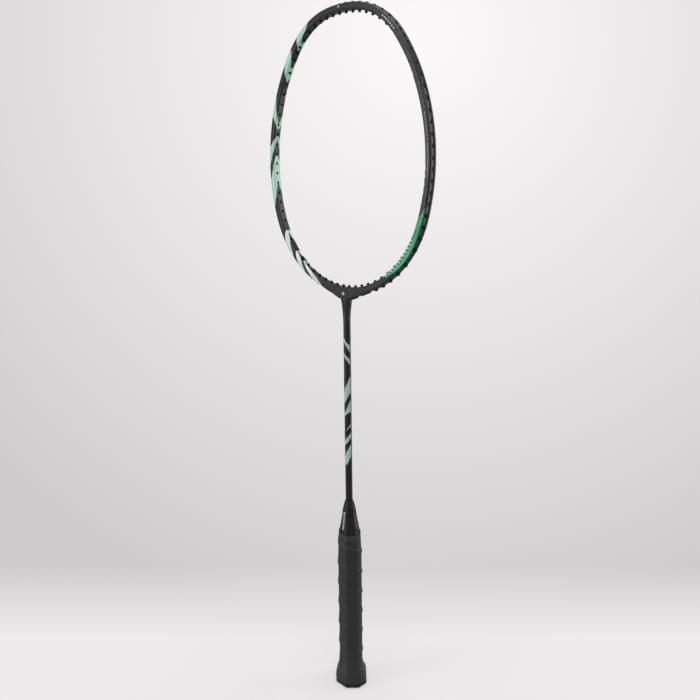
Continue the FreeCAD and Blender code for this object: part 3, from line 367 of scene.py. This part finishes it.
# ---------------------------------------------------------------- the hoop's surface
def hoop_point(along):
    """Centre-line point and outward direction, a length along from the bottom centre, on the +X side."""
    x, z, heading = 0.0, HOOP_BOTTOM, 0.0
    for radius, sweep in HOOP_ARCS:
        turn = math.radians(sweep)
        centre_x = x - radius * math.sin(heading)
        centre_z = z + radius * math.cos(heading)
        end = heading + min(turn, along / radius)
        x, z = centre_x + radius * math.sin(end), centre_z - radius * math.cos(end)
        if along <= radius * turn:
            heading = end
            break
        heading = end
        along -= radius * turn
    return Vector((x, 0.0, z)), Vector((math.sin(heading), 0.0, -math.cos(heading)))


def tube_section(girth):
    """Offset outwards, offset to the face, and the normal in that plane, a length round the tube from
    the middle of its inner side, over the face, to the middle of its outer side."""
    side = TUBE_HALF_DEPTH - TUBE_CORNER
    flat = 2.0 * (TUBE_HALF_WIDTH - TUBE_CORNER)
    bend = TUBE_CORNER * math.pi / 2.0
    if girth <= side:
        return -TUBE_HALF_WIDTH, girth, (-1.0, 0.0)
    if girth <= side + bend:
        turn = (girth - side) / TUBE_CORNER
        across = -flat / 2.0 - TUBE_CORNER * math.cos(turn)
        return across, side + TUBE_CORNER * math.sin(turn), (-math.cos(turn), math.sin(turn))
    if girth <= side + bend + flat:
        return -flat / 2.0 + girth - side - bend, TUBE_HALF_DEPTH, (0.0, 1.0)
    if girth <= side + 2.0 * bend + flat:
        turn = (girth - side - bend - flat) / TUBE_CORNER
        across = flat / 2.0 + TUBE_CORNER * math.sin(turn)
        return across, side + TUBE_CORNER * math.cos(turn), (math.sin(turn), math.cos(turn))
    return TUBE_HALF_WIDTH, 2.0 * side + 2.0 * bend + flat - girth, (1.0, 0.0)


def on_hoop(limb, face):
    """The tube's surface on one limb (+1 or -1 in X) and one face (+1 or -1 in Y)."""

    def place(along, girth, lift):
        centre, outward = hoop_point(along)
        across, deep, (normal_across, normal_deep) = tube_section(girth)
        point = centre + outward * (across + lift * normal_across)
        return Vector((limb * point.x, face * (deep + lift * normal_deep), point.z))

    return place


def on_shaft(turned):
    """The shaft's surface, by height and by bearing from the viewer's side, turned about the shaft."""

    def place(height, bearing, lift):
        angle = VIEW_BEARING + turned + bearing
        reach = SHAFT_RADIUS + lift
        return Vector((reach * math.cos(angle), reach * math.sin(angle), height))

    return place


# ---------------------------------------------------------------- printed graphics
def between(stations, share):
    """Values at a share of the way through stations, whose first value says where each one is."""
    where = stations[0][0] + (stations[-1][0] - stations[0][0]) * share
    for before, after in zip(stations, stations[1:]):
        low, high = sorted((before[0], after[0]))
        if low <= where <= high:
            part = (where - before[0]) / (after[0] - before[0])
            return [a + (b - a) * part for a, b in zip(before, after)]
    return list(stations[-1])


def islands(work):
    """The separate groups of joined vertices in a mesh."""
    waiting = set(work.verts)
    found = []
    while waiting:
        island, border = [], [waiting.pop()]
        while border:
            vertex = border.pop()
            island.append(vertex)
            for edge in vertex.link_edges:
                other = edge.other_vert(vertex)
                if other in waiting:
                    waiting.discard(other)
                    border.append(other)
        found.append(island)
    return found


def grommet_axes():
    """The tip end and the head end of every single grommet's axis."""
    axes = []
    for name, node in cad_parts.items():
        if "grommets" not in name:
            continue
        work = bmesh.new()
        work.from_mesh(node.data)
        bmesh.ops.remove_doubles(work, verts=work.verts, dist=1e-6)
        for island in islands(work):
            places = [node.matrix_world @ vertex.co for vertex in island]
            # Position settles ties in distance, so that every run picks the same points.
            places.sort(key=lambda place: ((place - HOOP_MIDDLE).length, place.x, -place.y, place.z))
            few = max(4, len(places) // 8)
            axes.append((sum(places[:few], Vector()) / few, sum(places[-few:], Vector()) / few))
        work.free()
    return axes


def clear_of_grommets(place):
    """Whether a point of the surface lies outside every grommet's barrel."""
    for tip, head in GROMMETS:
        if abs(tip.z - place.z) > NEAR_GROMMET or tip.x * place.x < 0.0:
            continue
        axis = (head - tip).normalized()
        offset = place - tip
        if (offset - axis * offset.dot(axis)).length < BARREL_RADIUS:
            return False
    return True


def print_grid(place, spots, lift=PRINT_LIFT):
    """Points and faces of a thin closed slab over a grid of (first, second) surface positions.

    Cells over a grommet's barrel are left open."""
    rows, columns = len(spots), len(spots[0])
    points = [place(*spot, lift) for row in spots for spot in row]
    points += [place(*spot, -PRINT_ROOT) for row in spots for spot in row]
    under = rows * columns
    faces, walls = [], {}
    for row in range(rows - 1):
        for column in range(columns - 1):
            here = row * columns + column
            cell = [here, here + columns, here + columns + 1, here + 1]
            middle = sum((points[corner] for corner in cell), Vector()) / 4.0
            if not clear_of_grommets(middle):
                continue
            faces.append(cell)
            faces.append([under + corner for corner in reversed(cell)])
            for start, end in zip(cell, cell[1:] + cell[:1]):
                if (end, start) in walls:
                    del walls[end, start]
                else:
                    walls[start, end] = [start, under + start, under + end, end]
    return points, faces + list(walls.values())


def add_print(name, material, slabs):
    """One piece, made of several printed slabs."""
    points, faces = [], []
    for slab_points, slab_faces in slabs:
        start = len(points)
        points += slab_points
        faces += [[start + corner for corner in face] for face in slab_faces]
    add_mesh(name, points, faces, material, sharp_degrees=60.0)


def hoop_blade(limb, face, stations, lift=PRINT_LIFT, step=0.8, across=10):
    """A blade on the hoop: stations are (length along, inner edge, outer edge), in millimetres."""
    length = abs(stations[-1][0] - stations[0][0])
    rows = max(4, int(length / step))
    spots = []
    for row in range(rows + 1):
        along, inner, outer = between(stations, row / rows)
        girths = [inner + (outer - inner) * k / across for k in range(across + 1)]
        spots.append([(along * MM, girth * MM) for girth in girths])
    return print_grid(on_hoop(limb, face), spots, lift)


def both_faces(limb, blades, lift=PRINT_LIFT):
    """The same blades on the two faces of a limb."""
    return [hoop_blade(limb, face, blade, lift) for face in (-1, 1) for blade in blades]


def shaft_bar(turned, stations, columns=24, rows=6):
    """A slanted bar on the shaft: stations are (bearing in degrees, lower edge, upper edge), with the
    edges' heights in millimetres."""
    spots = []
    for column in range(columns + 1):
        bearing, low, high = between(stations, column / columns)
        heights = [low + (high - low) * k / rows for k in range(rows + 1)]
        spots.append([(height * MM, math.radians(bearing)) for height in heights])
    return print_grid(on_shaft(turned), spots)


# Blades of the -X limb from the crown down, then the band, streaks and pinstripe of the +X limb; the last
# streak is a painted highlight along the band's outer part. Each station is (length along the hoop, inner
# edge, outer edge), in millimetres.
CROWN_BLADES = (
    ((317.5, 8.6, 8.8), (312.0, 5.0, 10.5), (306.0, 4.2, 11.2), (300.0, 2.0, 10.0),
     (295.5, 0.1, 5.0), (292.0, 0.0, 2.2), (288.5, 0.0, 0.1)),
    ((286.0, 7.0, 7.6), (282.0, 4.9, 9.5), (277.0, 2.9, 10.8), (272.0, 1.0, 9.4),
     (268.5, 0.0, 7.6), (262.0, 0.0, 4.0), (256.0, 0.0, 0.1)),
    ((241.0, 8.6, 9.2), (235.5, 7.1, 11.0), (228.5, 5.3, 11.2), (222.0, 3.0, 8.4),
     (216.0, 1.0, 4.4), (212.0, 0.1, 2.3), (209.0, 0.0, 0.1)),
)
WAIST_BLADES = (
    ((203.5, 0.0, 0.2), (202.0, 0.0, 1.5), (198.5, 0.6, 4.1), (194.5, 1.9, 6.5), (190.5, 3.1, 9.8),
     (186.0, 4.5, 11.2), (180.0, 6.2, 11.2), (174.0, 8.2, 10.8), (169.5, 9.6, 9.8)),
    ((183.5, 0.0, 0.9), (179.5, 0.0, 2.8), (175.0, 0.0, 4.0), (169.5, 0.0, 4.9), (165.5, 0.0, 6.4),
     (159.0, 0.0, 8.6), (154.0, 1.2, 10.6), (149.5, 2.6, 11.2), (143.0, 4.2, 11.2),
     (136.5, 6.7, 10.8), (131.0, 9.4, 9.6)),
)
THROAT_BLADES = (
    ((107.5, 0.2, 0.8), (105.0, 0.3, 3.4), (101.0, 0.9, 5.8), (96.5, 2.0, 7.8), (90.5, 4.0, 9.8),
     (85.0, 5.4, 10.8), (79.0, 7.6, 10.4), (74.0, 9.3, 9.5)),
    ((82.5, 0.2, 0.8), (80.5, 0.3, 2.5), (74.0, 1.6, 5.6), (69.0, 3.2, 8.3), (63.0, 5.4, 10.2),
     (58.0, 7.6, 10.2), (54.0, 9.2, 9.4)),
    ((67.0, 0.4, 0.8), (65.0, 0.6, 2.0), (61.0, 1.2, 3.3), (57.5, 1.8, 4.4), (51.0, 3.0, 6.3),
     (45.5, 4.0, 8.2), (39.0, 5.0, 9.6), (34.0, 6.9, 10.0), (29.5, 9.0, 9.2)),
)
EMERALD_BAND = (
    ((136.0, 9.5, 9.7), (131.0, 7.6, 9.7), (126.0, 5.6, 9.7), (120.0, 3.6, 9.6), (112.0, 2.6, 9.9),
     (101.0, 2.6, 10.2), (91.5, 2.6, 10.2), (82.0, 2.6, 9.6), (72.5, 3.0, 9.2), (65.0, 3.8, 7.4),
     (57.5, 4.8, 5.8), (54.0, 5.3, 5.5)),
)
GREEN_STREAKS_AND_HIGHLIGHT = (
    ((134.5, 9.1, 9.3), (130.0, 7.4, 8.0), (125.0, 5.6, 6.2), (121.5, 4.6, 4.8)),
    ((129.5, 9.1, 9.3), (124.0, 7.6, 8.3), (117.5, 5.6, 6.4), (114.0, 4.5, 4.7)),
    # Painted highlight: a lighter green along the band's outer part, standing in for light falling there.
    ((112.0, 9.0, 9.2), (100.0, 8.2, 9.4), (88.0, 7.9, 9.5), (76.0, 7.6, 8.8), (67.0, 6.8, 7.0)),
)
SIDE_PINSTRIPE = (((187.5, 6.9, 7.5), (175.0, 6.9, 7.5), (160.0, 6.9, 7.5)),)


def tick_row(first, last, count, inner, outer, width, slant):
    """A row of short plain strokes along the hoop, each leaning by slant; all in millimetres."""
    ticks = []
    for number in range(count):
        at = first + (last - first) * number / (count - 1)
        ticks.append(((at, inner), (at + slant, outer), (at + slant + width, outer), (at + width, inner)))
    return ticks


def hoop_tick(limb, face, corners, lift=PRINT_LIFT, steps=4):
    """A small four-cornered print: two inner corners and two outer ones."""
    inner_start, outer_start, outer_end, inner_end = corners
    spots = []
    for step in range(steps + 1):
        share = step / steps
        start = [a + (b - a) * share for a, b in zip(inner_start, outer_start)]
        end = [a + (b - a) * share for a, b in zip(inner_end, outer_end)]
        spots.append([(start[0] * MM, start[1] * MM), (end[0] * MM, end[1] * MM)])
    return print_grid(on_hoop(limb, face), spots, lift)


def tick_print(name, material, limb, ticks, lift=PRINT_LIFT):
    """Small prints on both faces of a limb, as one piece."""
    slabs = [hoop_tick(limb, face, corners, lift) for face in (-1, 1) for corners in ticks]
    add_print(name, material, slabs)


def closed_ring(place, rings):
    """Points and faces of a flat washer between two rings of surface positions."""
    count = len(rings[0])
    points = []
    for lift in (PRINT_LIFT, -PRINT_ROOT):
        for ring in rings:
            points += [place(*spot, lift) for spot in ring]
    upper_inner, upper_outer, lower_inner, lower_outer = (count * number for number in range(4))
    pairs = (
        (upper_inner, upper_outer), (upper_outer, lower_outer),
        (lower_outer, lower_inner), (lower_inner, upper_inner),
    )
    faces = []
    for first, second in pairs:
        for k in range(count):
            beside = (k + 1) % count
            faces.append([first + k, first + beside, second + beside, second + k])
    return points, faces


def on_throat(face):
    """The throat's flat surface on one face, by distance and direction from the middle of its mark."""

    def place(reach, turn, lift):
        depth = face * (TUBE_HALF_DEPTH + lift)
        return Vector((reach * math.cos(turn), depth, THROAT_DOT + reach * math.sin(turn)))

    return place


def throat_dot():
    """A small plain round mark at the throat, on both faces."""
    turns = [2.0 * math.pi * k / THROAT_DOT_POINTS for k in range(THROAT_DOT_POINTS)]
    rings = [[(reach, turn) for turn in turns] for reach in THROAT_DOT_RADII]
    slabs = [closed_ring(on_throat(face), rings) for face in (-1, 1)]
    add_print("throat_mark", WHITE_PRINT, slabs)


def head_prints():
    """The head's graphics: mint blades on one limb, an emerald band on the other with light green streaks
    and a painted highlight, plain ticks.
    """
    add_print("mint_blades", MINT, both_faces(-1, CROWN_BLADES + WAIST_BLADES[:1]))
    add_print("waist_blades", MINT, both_faces(-1, WAIST_BLADES[1:]))
    add_print("throat_blades", PALE_MINT, both_faces(-1, THROAT_BLADES))
    add_print("emerald_band", EMERALD, both_faces(1, EMERALD_BAND))
    add_print("green_streaks_and_highlight", LIGHT_GREEN, both_faces(1, GREEN_STREAKS_AND_HIGHLIGHT, OVERPRINT_LIFT))
    tick_print("pale_ticks", PALE_MINT, 1, tick_row(58.0, 103.0, 12, 4.4, 6.6, 1.2, 1.6), TICK_LIFT)
    tick_print("crown_squares", WHITE_PRINT, 1, tick_row(287.5, 304.5, 7, 6.4, 7.7, 1.4, 0.0))
    tick_print("side_dashes", SILVER_PRINT, 1, tick_row(189.5, 210.0, 9, 6.8, 7.6, 1.5, 0.5))
    tick_print("crown_diamond", WHITE_PRINT, -1, [((357.2, 7.5), (358.4, 8.7), (359.5, 7.5), (358.4, 6.4))])
    add_print("side_pinstripe", SILVER_PRINT, both_faces(1, SIDE_PINSTRIPE))
    throat_dot()


def shaft_prints():
    """Slanted bars on the shaft, four of them with a deep green end that runs on round the shaft: painted
    shade, a darker copy of the mint where the shaft turns from the light.
    """
    bars = (
        ((-100, 378.2, 378.6), (-52, 371.8, 375.8), (-14, 368.0, 372.3), (40, 362.6, 369.4)),
        ((-100, 362.6, 363.0), (-57, 358.3, 361.4), (-10, 354.6, 358.2), (38, 349.8, 355.6)),
        ((-100, 312.0, 313.0), (-53, 311.1, 324.7), (-10, 316.4, 331.2), (29, 321.0, 337.0),
         (44, 321.8, 337.9)),
        ((-80, 297.6, 298.4), (-56, 297.9, 301.2), (-42, 298.9, 302.4), (20, 302.0, 311.6),
         (42, 301.6, 314.0)),
        ((-40, 282.2, 282.4), (0, 285.0, 286.3), (36, 286.9, 289.9)),
        ((-100, 264.6, 265.4), (-60, 267.3, 272.8), (0, 271.6, 277.2), (44, 276.0, 280.8)),
        ((-80, 247.6, 252.0), (-49, 246.9, 258.1), (-17, 248.2, 262.4), (44, 257.0, 269.1)),
    )
    # Painted shade: each bar's end on the side turned from the light, in a darker teal.
    deep = (
        ((40, 362.6, 369.4), (65, 360.6, 366.8), (110, 358.8, 359.2)),
        ((44, 321.8, 337.9), (70, 324.0, 339.4), (130, 342.0, 342.4)),
        ((42, 301.6, 314.0), (66, 301.4, 315.4), (120, 311.4, 311.8)),
        ((44, 272.0, 280.8), (66, 272.6, 282.4), (120, 283.4, 283.8)),
    )
    slabs, painted_shade_slabs = [], []
    for turned in (0.0, math.pi):
        slabs += [shaft_bar(turned, bar) for bar in bars]
        painted_shade_slabs += [shaft_bar(turned, bar) for bar in deep]
    add_print("shaft_bars", SHAFT_MINT, slabs)
    add_print("shaft_bar_painted_shade", SHAFT_SHADE_TEAL, painted_shade_slabs)


def on_cone(bearing):
    """The cone's surface on one side, by height and by distance across that side."""
    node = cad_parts["cone_cap"]
    surface = BVHTree.FromObject(node, bpy.context.evaluated_depsgraph_get())
    outward = Vector((math.cos(bearing), math.sin(bearing), 0.0))
    sideways = Vector((-math.sin(bearing), math.cos(bearing), 0.0))
    to_node = node.matrix_world.inverted()

    def place(height, across, lift):
        start = Vector((0.0, 0.0, height)) + sideways * across + outward * 50.0 * MM
        hit = surface.ray_cast(to_node @ start, to_node.to_3x3() @ -outward)[0]
        return node.matrix_world @ hit + outward * lift

    return place


def cone_dashes(bearing, low, high, count, width, tall):
    """A column of short plain dashes up one side of the cone; sizes in millimetres."""
    place = on_cone(bearing)
    slabs = []
    for number in range(count):
        height = low + (high - low) * number / (count - 1)
        spots = []
        for up in (0.0, 0.5, 1.0):
            across = [width * (share - 0.5) * MM for share in (0.0, 0.25, 0.5, 0.75, 1.0)]
            spots.append([((height + tall * up) * MM, side) for side in across])
        slabs.append(print_grid(place, spots))
    return slabs


def cone_prints():
    """Plain dashes on four sides of the cone: pale on the broad sides, faint on the narrow ones."""
    pale = cone_dashes(-math.pi / 2.0, 178.4, 195.4, 8, 2.2, 1.3)
    pale += cone_dashes(math.pi / 2.0, 178.4, 195.4, 8, 2.2, 1.3)
    faint = cone_dashes(0.0, 180.3, 195.4, 9, 2.0, 0.7) + cone_dashes(math.pi, 180.3, 195.4, 9, 2.0, 0.7)
    add_print("cone_pale_dashes", WHITE_PRINT, pale)
    add_print("cone_faint_dashes", FAINT_PRINT, faint)


# ---------------------------------------------------------------- soft wraps on the handle
def softened_octagon(bearing, growth, hardness):
    """Reach of the handle's octagon at a bearing, grown by growth, with its corners rounded off."""
    diagonal = (CORE_HALF_X + CORE_HALF_Y - CORE_CORNER_CUT) / math.sqrt(2.0)
    total = 0.0
    for number in range(8):
        side = number * math.pi / 4.0
        flat = diagonal if number % 2 else (CORE_HALF_X, CORE_HALF_Y)[number // 2 % 2]
        facing = math.cos(bearing - side)
        if facing > 0.0:
            total += (facing / (flat + growth)) ** hardness
    return total ** (-1.0 / hardness)


def smooth(share):
    """An eased step from 0 to 1."""
    share = min(max(share, 0.0), 1.0)
    return share * share * (3.0 - 2.0 * share)


def along_stations(stations, height):
    """Value at a height, in straight lines between (height, value) stations."""
    if height <= stations[0][0]:
        return stations[0][1]
    for (low, first), (high, second) in zip(stations, stations[1:]):
        if height <= high:
            return first + (second - first) * (height - low) / (high - low)
    return stations[-1][1]


def grip_lap(above_seam):
    """How far the band rides up over the turn below, by the distance up from its lower edge."""
    edge = smooth(above_seam / BAND_EDGE + 0.5)
    fall = 1.0 - smooth((above_seam - BAND_OVERLAP) / BAND_FADE)
    bead = math.exp(-((above_seam - BEAD_PLACE) / BEAD_WIDTH) ** 2)
    return BAND_THICKNESS * edge * fall + BEAD_HEIGHT * bead


def tape_lap(above_seam):
    """The same for the thin tape, whose turns lie almost edge over edge."""
    edge = smooth(above_seam / TAPE_EDGE + 0.5)
    fall = 1.0 - smooth(above_seam / TAPE_FADE)
    return TAPE_THICKNESS * edge * fall


def handle_point(bearing, growth, rounding, height, lifted=0.0):
    """A point on the handle's octagon, grown by growth and rounded, lifted further by lifted."""
    reach = softened_octagon(bearing, growth, rounding) + lifted
    return Vector((reach * math.cos(bearing), reach * math.sin(bearing), height))


def wound_rows(low, high, pitch, offsets, outer, lap, corners):
    """Points and faces of a spirally wound outside between two heights.

    offsets are the mesh rows of one turn, as distances up from its seam. Row points beyond either end
    are held on that end, where welding makes them one clean ring."""
    first_turn = math.floor((low - SEAM_HEIGHT) / pitch) - 1
    last_turn = math.ceil((high - SEAM_HEIGHT) / pitch) + 2
    rows = []
    for turn in range(first_turn, last_turn):
        rows += [SEAM_HEIGHT + turn * pitch + offset for offset in offsets]
    points, faces = [], []
    for row in rows:
        for column in range(WRAP_COLUMNS):
            bearing = WRAP_STEP * column
            drop = pitch * (bearing - SEAM_BEARING) / (2.0 * math.pi)
            height = min(max(row - drop, low), high)
            above_seam = (height + drop - SEAM_HEIGHT) % pitch
            lifted = max(lap(above_seam), lap(above_seam - pitch))
            points.append(handle_point(bearing, outer(height), corners, height, lifted))
    for row in range(len(rows) - 1):
        here = row * WRAP_COLUMNS
        for column in range(WRAP_COLUMNS - 1):
            at = here + column
            faces.append([at, at + 1, at + 1 + WRAP_COLUMNS, at + WRAP_COLUMNS])
        # Once round the handle, a row meets the same row of the turn below.
        below = here - len(offsets) * WRAP_COLUMNS
        if below >= 0:
            last = here + WRAP_COLUMNS - 1
            faces.append([last, below, below + WRAP_COLUMNS, last + WRAP_COLUMNS])
    return points, faces


def ring_faces(first, second):
    """Faces between two rings of points, given the number of each ring's first point."""
    faces = []
    for column in range(WRAP_COLUMNS):
        beside = (column + 1) % WRAP_COLUMNS
        faces.append([first + column, first + beside, second + beside, second + column])
    return faces


def add_wrap(name, material, low, high, pitch, offsets, outer, inner, lap, corners, lip):
    """A closed sleeve of wound band: its spiral outside, a rounded lip at each end, and its inside."""
    points, faces = wound_rows(low + lip, high - lip, pitch, offsets, outer, lap, corners)
    bottom_ring, top_ring = 0, len(points) - WRAP_COLUMNS
    rings = []
    for step in range(1, LIP_STEPS + 1):
        turn = step / LIP_STEPS * math.pi / 2.0
        rings.append((lip * math.sin(turn), lip * (1.0 - math.cos(turn))))
    ends = []
    for edge, start, away in ((low + lip, bottom_ring, -1.0), (high - lip, top_ring, 1.0)):
        before = start
        for outwards, inwards in rings:
            ring = len(points)
            for column in range(WRAP_COLUMNS):
                point = points[start + column].copy()
                flat = Vector((point.x, point.y, 0.0))
                point -= flat.normalized() * inwards
                point.z = edge + away * outwards
                points.append(point)
            faces += ring_faces(before, ring)
            before = ring
        ends.append(before)
    inside = []
    for step in range(INSIDE_STEPS + 1):
        height = low + (high - low) * step / INSIDE_STEPS
        inside.append(len(points))
        for column in range(WRAP_COLUMNS):
            points.append(handle_point(WRAP_STEP * column, inner(height), TIGHT_CORNERS, height))
    for lower, upper in zip([ends[0]] + inside, inside + [ends[1]]):
        faces += ring_faces(lower, upper)
    return add_mesh(name, points, faces, material, sharp_degrees=75.0)


def grip_outer(height):
    """Growth of the grip's outside over the handle's octagon, between the laps."""
    return along_stations(GRIP_OUTSIDE, height) - BAND_SETTLING


def grip_inner(height):
    """Growth of the grip's inside: over the flare of the cap, then straight over the core."""
    return along_stations(CAP_FLARE, height) + WRAP_GAP


def grip_wrap():
    """The wide band, wound up the handle from the butt."""
    grip = add_wrap(
        "wound_grip", grip_material(), GRIP_LOW, GRIP_TOP, WINDING_PITCH,
        [offset * MM for offset in GRIP_ROWS], grip_outer, grip_inner, grip_lap, SOFT_CORNERS, GRIP_LIP,
    )
    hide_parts("grip_wrap")


def finishing_tape():
    """Two and a half turns of thin stretchy tape, from the grip's top up over the cone's lower edge."""
    tape = add_wrap(
        "wound_tape", tape_material(), TAPE_LOW, TAPE_TOP, TAPE_PITCH,
        [offset * MM for offset in TAPE_ROWS], lambda height: TAPE_OUTSIDE, lambda height: WRAP_GAP,
        tape_lap, TIGHT_CORNERS, TAPE_LIP,
    )
    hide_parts("finishing_tape")


# ---------------------------------------------------------------- studio
def backdrop_glow(tree, window):
    """Pale colour that is brightest high in the picture and falls off with distance from there."""
    placed = tree.nodes.new("ShaderNodeMapping")
    placed.inputs["Location"].default_value = (-0.6, -0.95, 0.0)
    tree.links.new(window, placed.inputs["Vector"])
    reach = tree.nodes.new("ShaderNodeVectorMath")
    reach.operation = "LENGTH"
    tree.links.new(placed.outputs["Vector"], reach.inputs[0])
    return add_colours(
        tree, reach.outputs["Value"], (0.96, 0.94, 0.945), (0.62, 0.605, 0.61), 0.02, 0.85,
    )


def backdrop(tree):
    """What the camera sees behind the racket: the glow, with a paler ground low in the picture."""
    window = tree.nodes.new("ShaderNodeTexCoord").outputs["Window"]
    parts = tree.nodes.new("ShaderNodeSeparateXYZ")
    tree.links.new(window, parts.inputs["Vector"])
    ground = tree.nodes.new("ShaderNodeMix")
    ground.data_type = "RGBA"
    tree.links.new(add_range(tree, parts.outputs["Y"], 0.85, 0.0, 0.09, 0.19), ground.inputs["Factor"])
    tree.links.new(backdrop_glow(tree, window), ground.inputs["A"])
    ground.inputs["B"].default_value = (0.90, 0.87, 0.88, 1.0)
    seen = tree.nodes.new("ShaderNodeBackground")
    tree.links.new(ground.outputs["Result"], seen.inputs["Color"])
    return seen.outputs["Background"]


def add_surround():
    """A plain even surround that lights the racket, with the backdrop in the camera's own view."""
    world = bpy.data.worlds.new("studio")
    bpy.context.scene.world = world
    world.use_nodes = True
    tree = world.node_tree
    surround = tree.nodes["Background"]
    surround.inputs["Color"].default_value = (0.9, 0.9, 0.92, 1.0)
    surround.inputs["Strength"].default_value = 0.36
    rays = tree.nodes.new("ShaderNodeLightPath")
    choose = tree.nodes.new("ShaderNodeMixShader")
    tree.links.new(rays.outputs["Is Camera Ray"], choose.inputs["Fac"])
    tree.links.new(surround.outputs["Background"], choose.inputs[1])
    tree.links.new(backdrop(tree), choose.inputs[2])
    tree.links.new(choose.outputs["Shader"], tree.nodes["World Output"].inputs["Surface"])


def add_lamp(name, bearing, distance, height, size, power):
    """A soft rectangular lamp that looks at the racket's middle."""
    data = bpy.data.lights.new(name, "AREA")
    data.shape = "RECTANGLE"
    data.size, data.size_y = size
    data.energy = power
    lamp = bpy.data.objects.new(name, data)
    lamp.location = (distance * math.cos(bearing), distance * math.sin(bearing), height)
    lamp.rotation_mode = "QUATERNION"
    lamp.rotation_quaternion = (LAMP_AIM - lamp.location).to_track_quat("-Z", "Y")
    bpy.context.scene.collection.objects.link(lamp)


def floor_material():
    """Pale floor that fades to clear towards its edge."""
    made, tree, shader = new_material("pale_floor")
    shader.inputs["Base Color"].default_value = (0.86, 0.85, 0.86, 1.0)
    shader.inputs["Roughness"].default_value = 0.8
    shader.inputs["Specular IOR Level"].default_value = 0.1
    clear = tree.nodes.new("ShaderNodeBsdfTransparent")
    mix = tree.nodes.new("ShaderNodeMixShader")
    reach = tree.nodes.new("ShaderNodeVectorMath")
    reach.operation = "LENGTH"
    tree.links.new(tree.nodes.new("ShaderNodeTexCoord").outputs["Object"], reach.inputs[0])
    tree.links.new(add_range(tree, reach.outputs["Value"], 0.4, 0.0, 0.02, 0.3), mix.inputs["Fac"])
    tree.links.new(clear.outputs["BSDF"], mix.inputs[1])
    tree.links.new(shader.outputs["BSDF"], mix.inputs[2])
    tree.links.new(mix.outputs["Shader"], tree.nodes["Material Output"].inputs["Surface"])
    return made


def add_floor():
    """The round floor that the racket stands on."""
    points = [(0.0, 0.0, 0.0)]
    faces = []
    for ring in range(1, FLOOR_RINGS + 1):
        reach = FLOOR_RADIUS * ring / FLOOR_RINGS
        for spoke in range(FLOOR_SPOKES):
            angle = spoke * 2.0 * math.pi / FLOOR_SPOKES
            points.append((reach * math.cos(angle), reach * math.sin(angle), 0.0))
    for spoke in range(FLOOR_SPOKES):
        beside = (spoke + 1) % FLOOR_SPOKES
        faces.append((0, 1 + spoke, 1 + beside))
        for ring in range(FLOOR_RINGS - 1):
            here, there = 1 + ring * FLOOR_SPOKES + spoke, 1 + ring * FLOOR_SPOKES + beside
            faces.append((here, here + FLOOR_SPOKES, there + FLOOR_SPOKES, there))
    mesh = bpy.data.meshes.new("studio_floor")
    mesh.from_pydata(points, [], faces)
    mesh.materials.append(floor_material())
    floor = bpy.data.objects.new("studio_floor", mesh)
    bpy.context.scene.collection.objects.link(floor)


def stage_and_light():
    """Pale floor, pale surround and soft studio lamps."""
    bpy.context.scene.view_settings.view_transform = "Standard"
    add_surround()
    add_floor()
    for name, bearing, distance, height, size, power in LAMPS:
        add_lamp(name, VIEW_BEARING + math.radians(bearing), distance, height, size, power)


def add_camera():
    """The camera, level apart from a small roll."""
    forward = Vector((
        -math.sin(CAMERA_HEADING) * math.cos(CAMERA_PITCH),
        math.cos(CAMERA_HEADING) * math.cos(CAMERA_PITCH),
        -math.sin(CAMERA_PITCH),
    ))
    level = Vector((math.cos(CAMERA_HEADING), math.sin(CAMERA_HEADING), 0.0))
    upright = level.cross(forward)
    right = math.cos(CAMERA_ROLL) * level + math.sin(CAMERA_ROLL) * upright
    above = -math.sin(CAMERA_ROLL) * level + math.cos(CAMERA_ROLL) * upright
    data = bpy.data.cameras.new("camera")
    data.lens = CAMERA_LENS
    data.sensor_width = 36.0
    data.clip_start, data.clip_end = 0.01, 50.0
    camera = bpy.data.objects.new("camera", data)
    turn = Matrix((right, above, -forward)).transposed()
    camera.matrix_world = Matrix.Translation(CAMERA_PLACE) @ turn.to_4x4()
    bpy.context.scene.collection.objects.link(camera)
    bpy.context.scene.camera = camera


GROMMETS = grommet_axes()
dress_cad_nodes()
head_prints()
shaft_prints()
cone_prints()
grip_wrap()
finishing_tape()
stage_and_light()
add_camera()
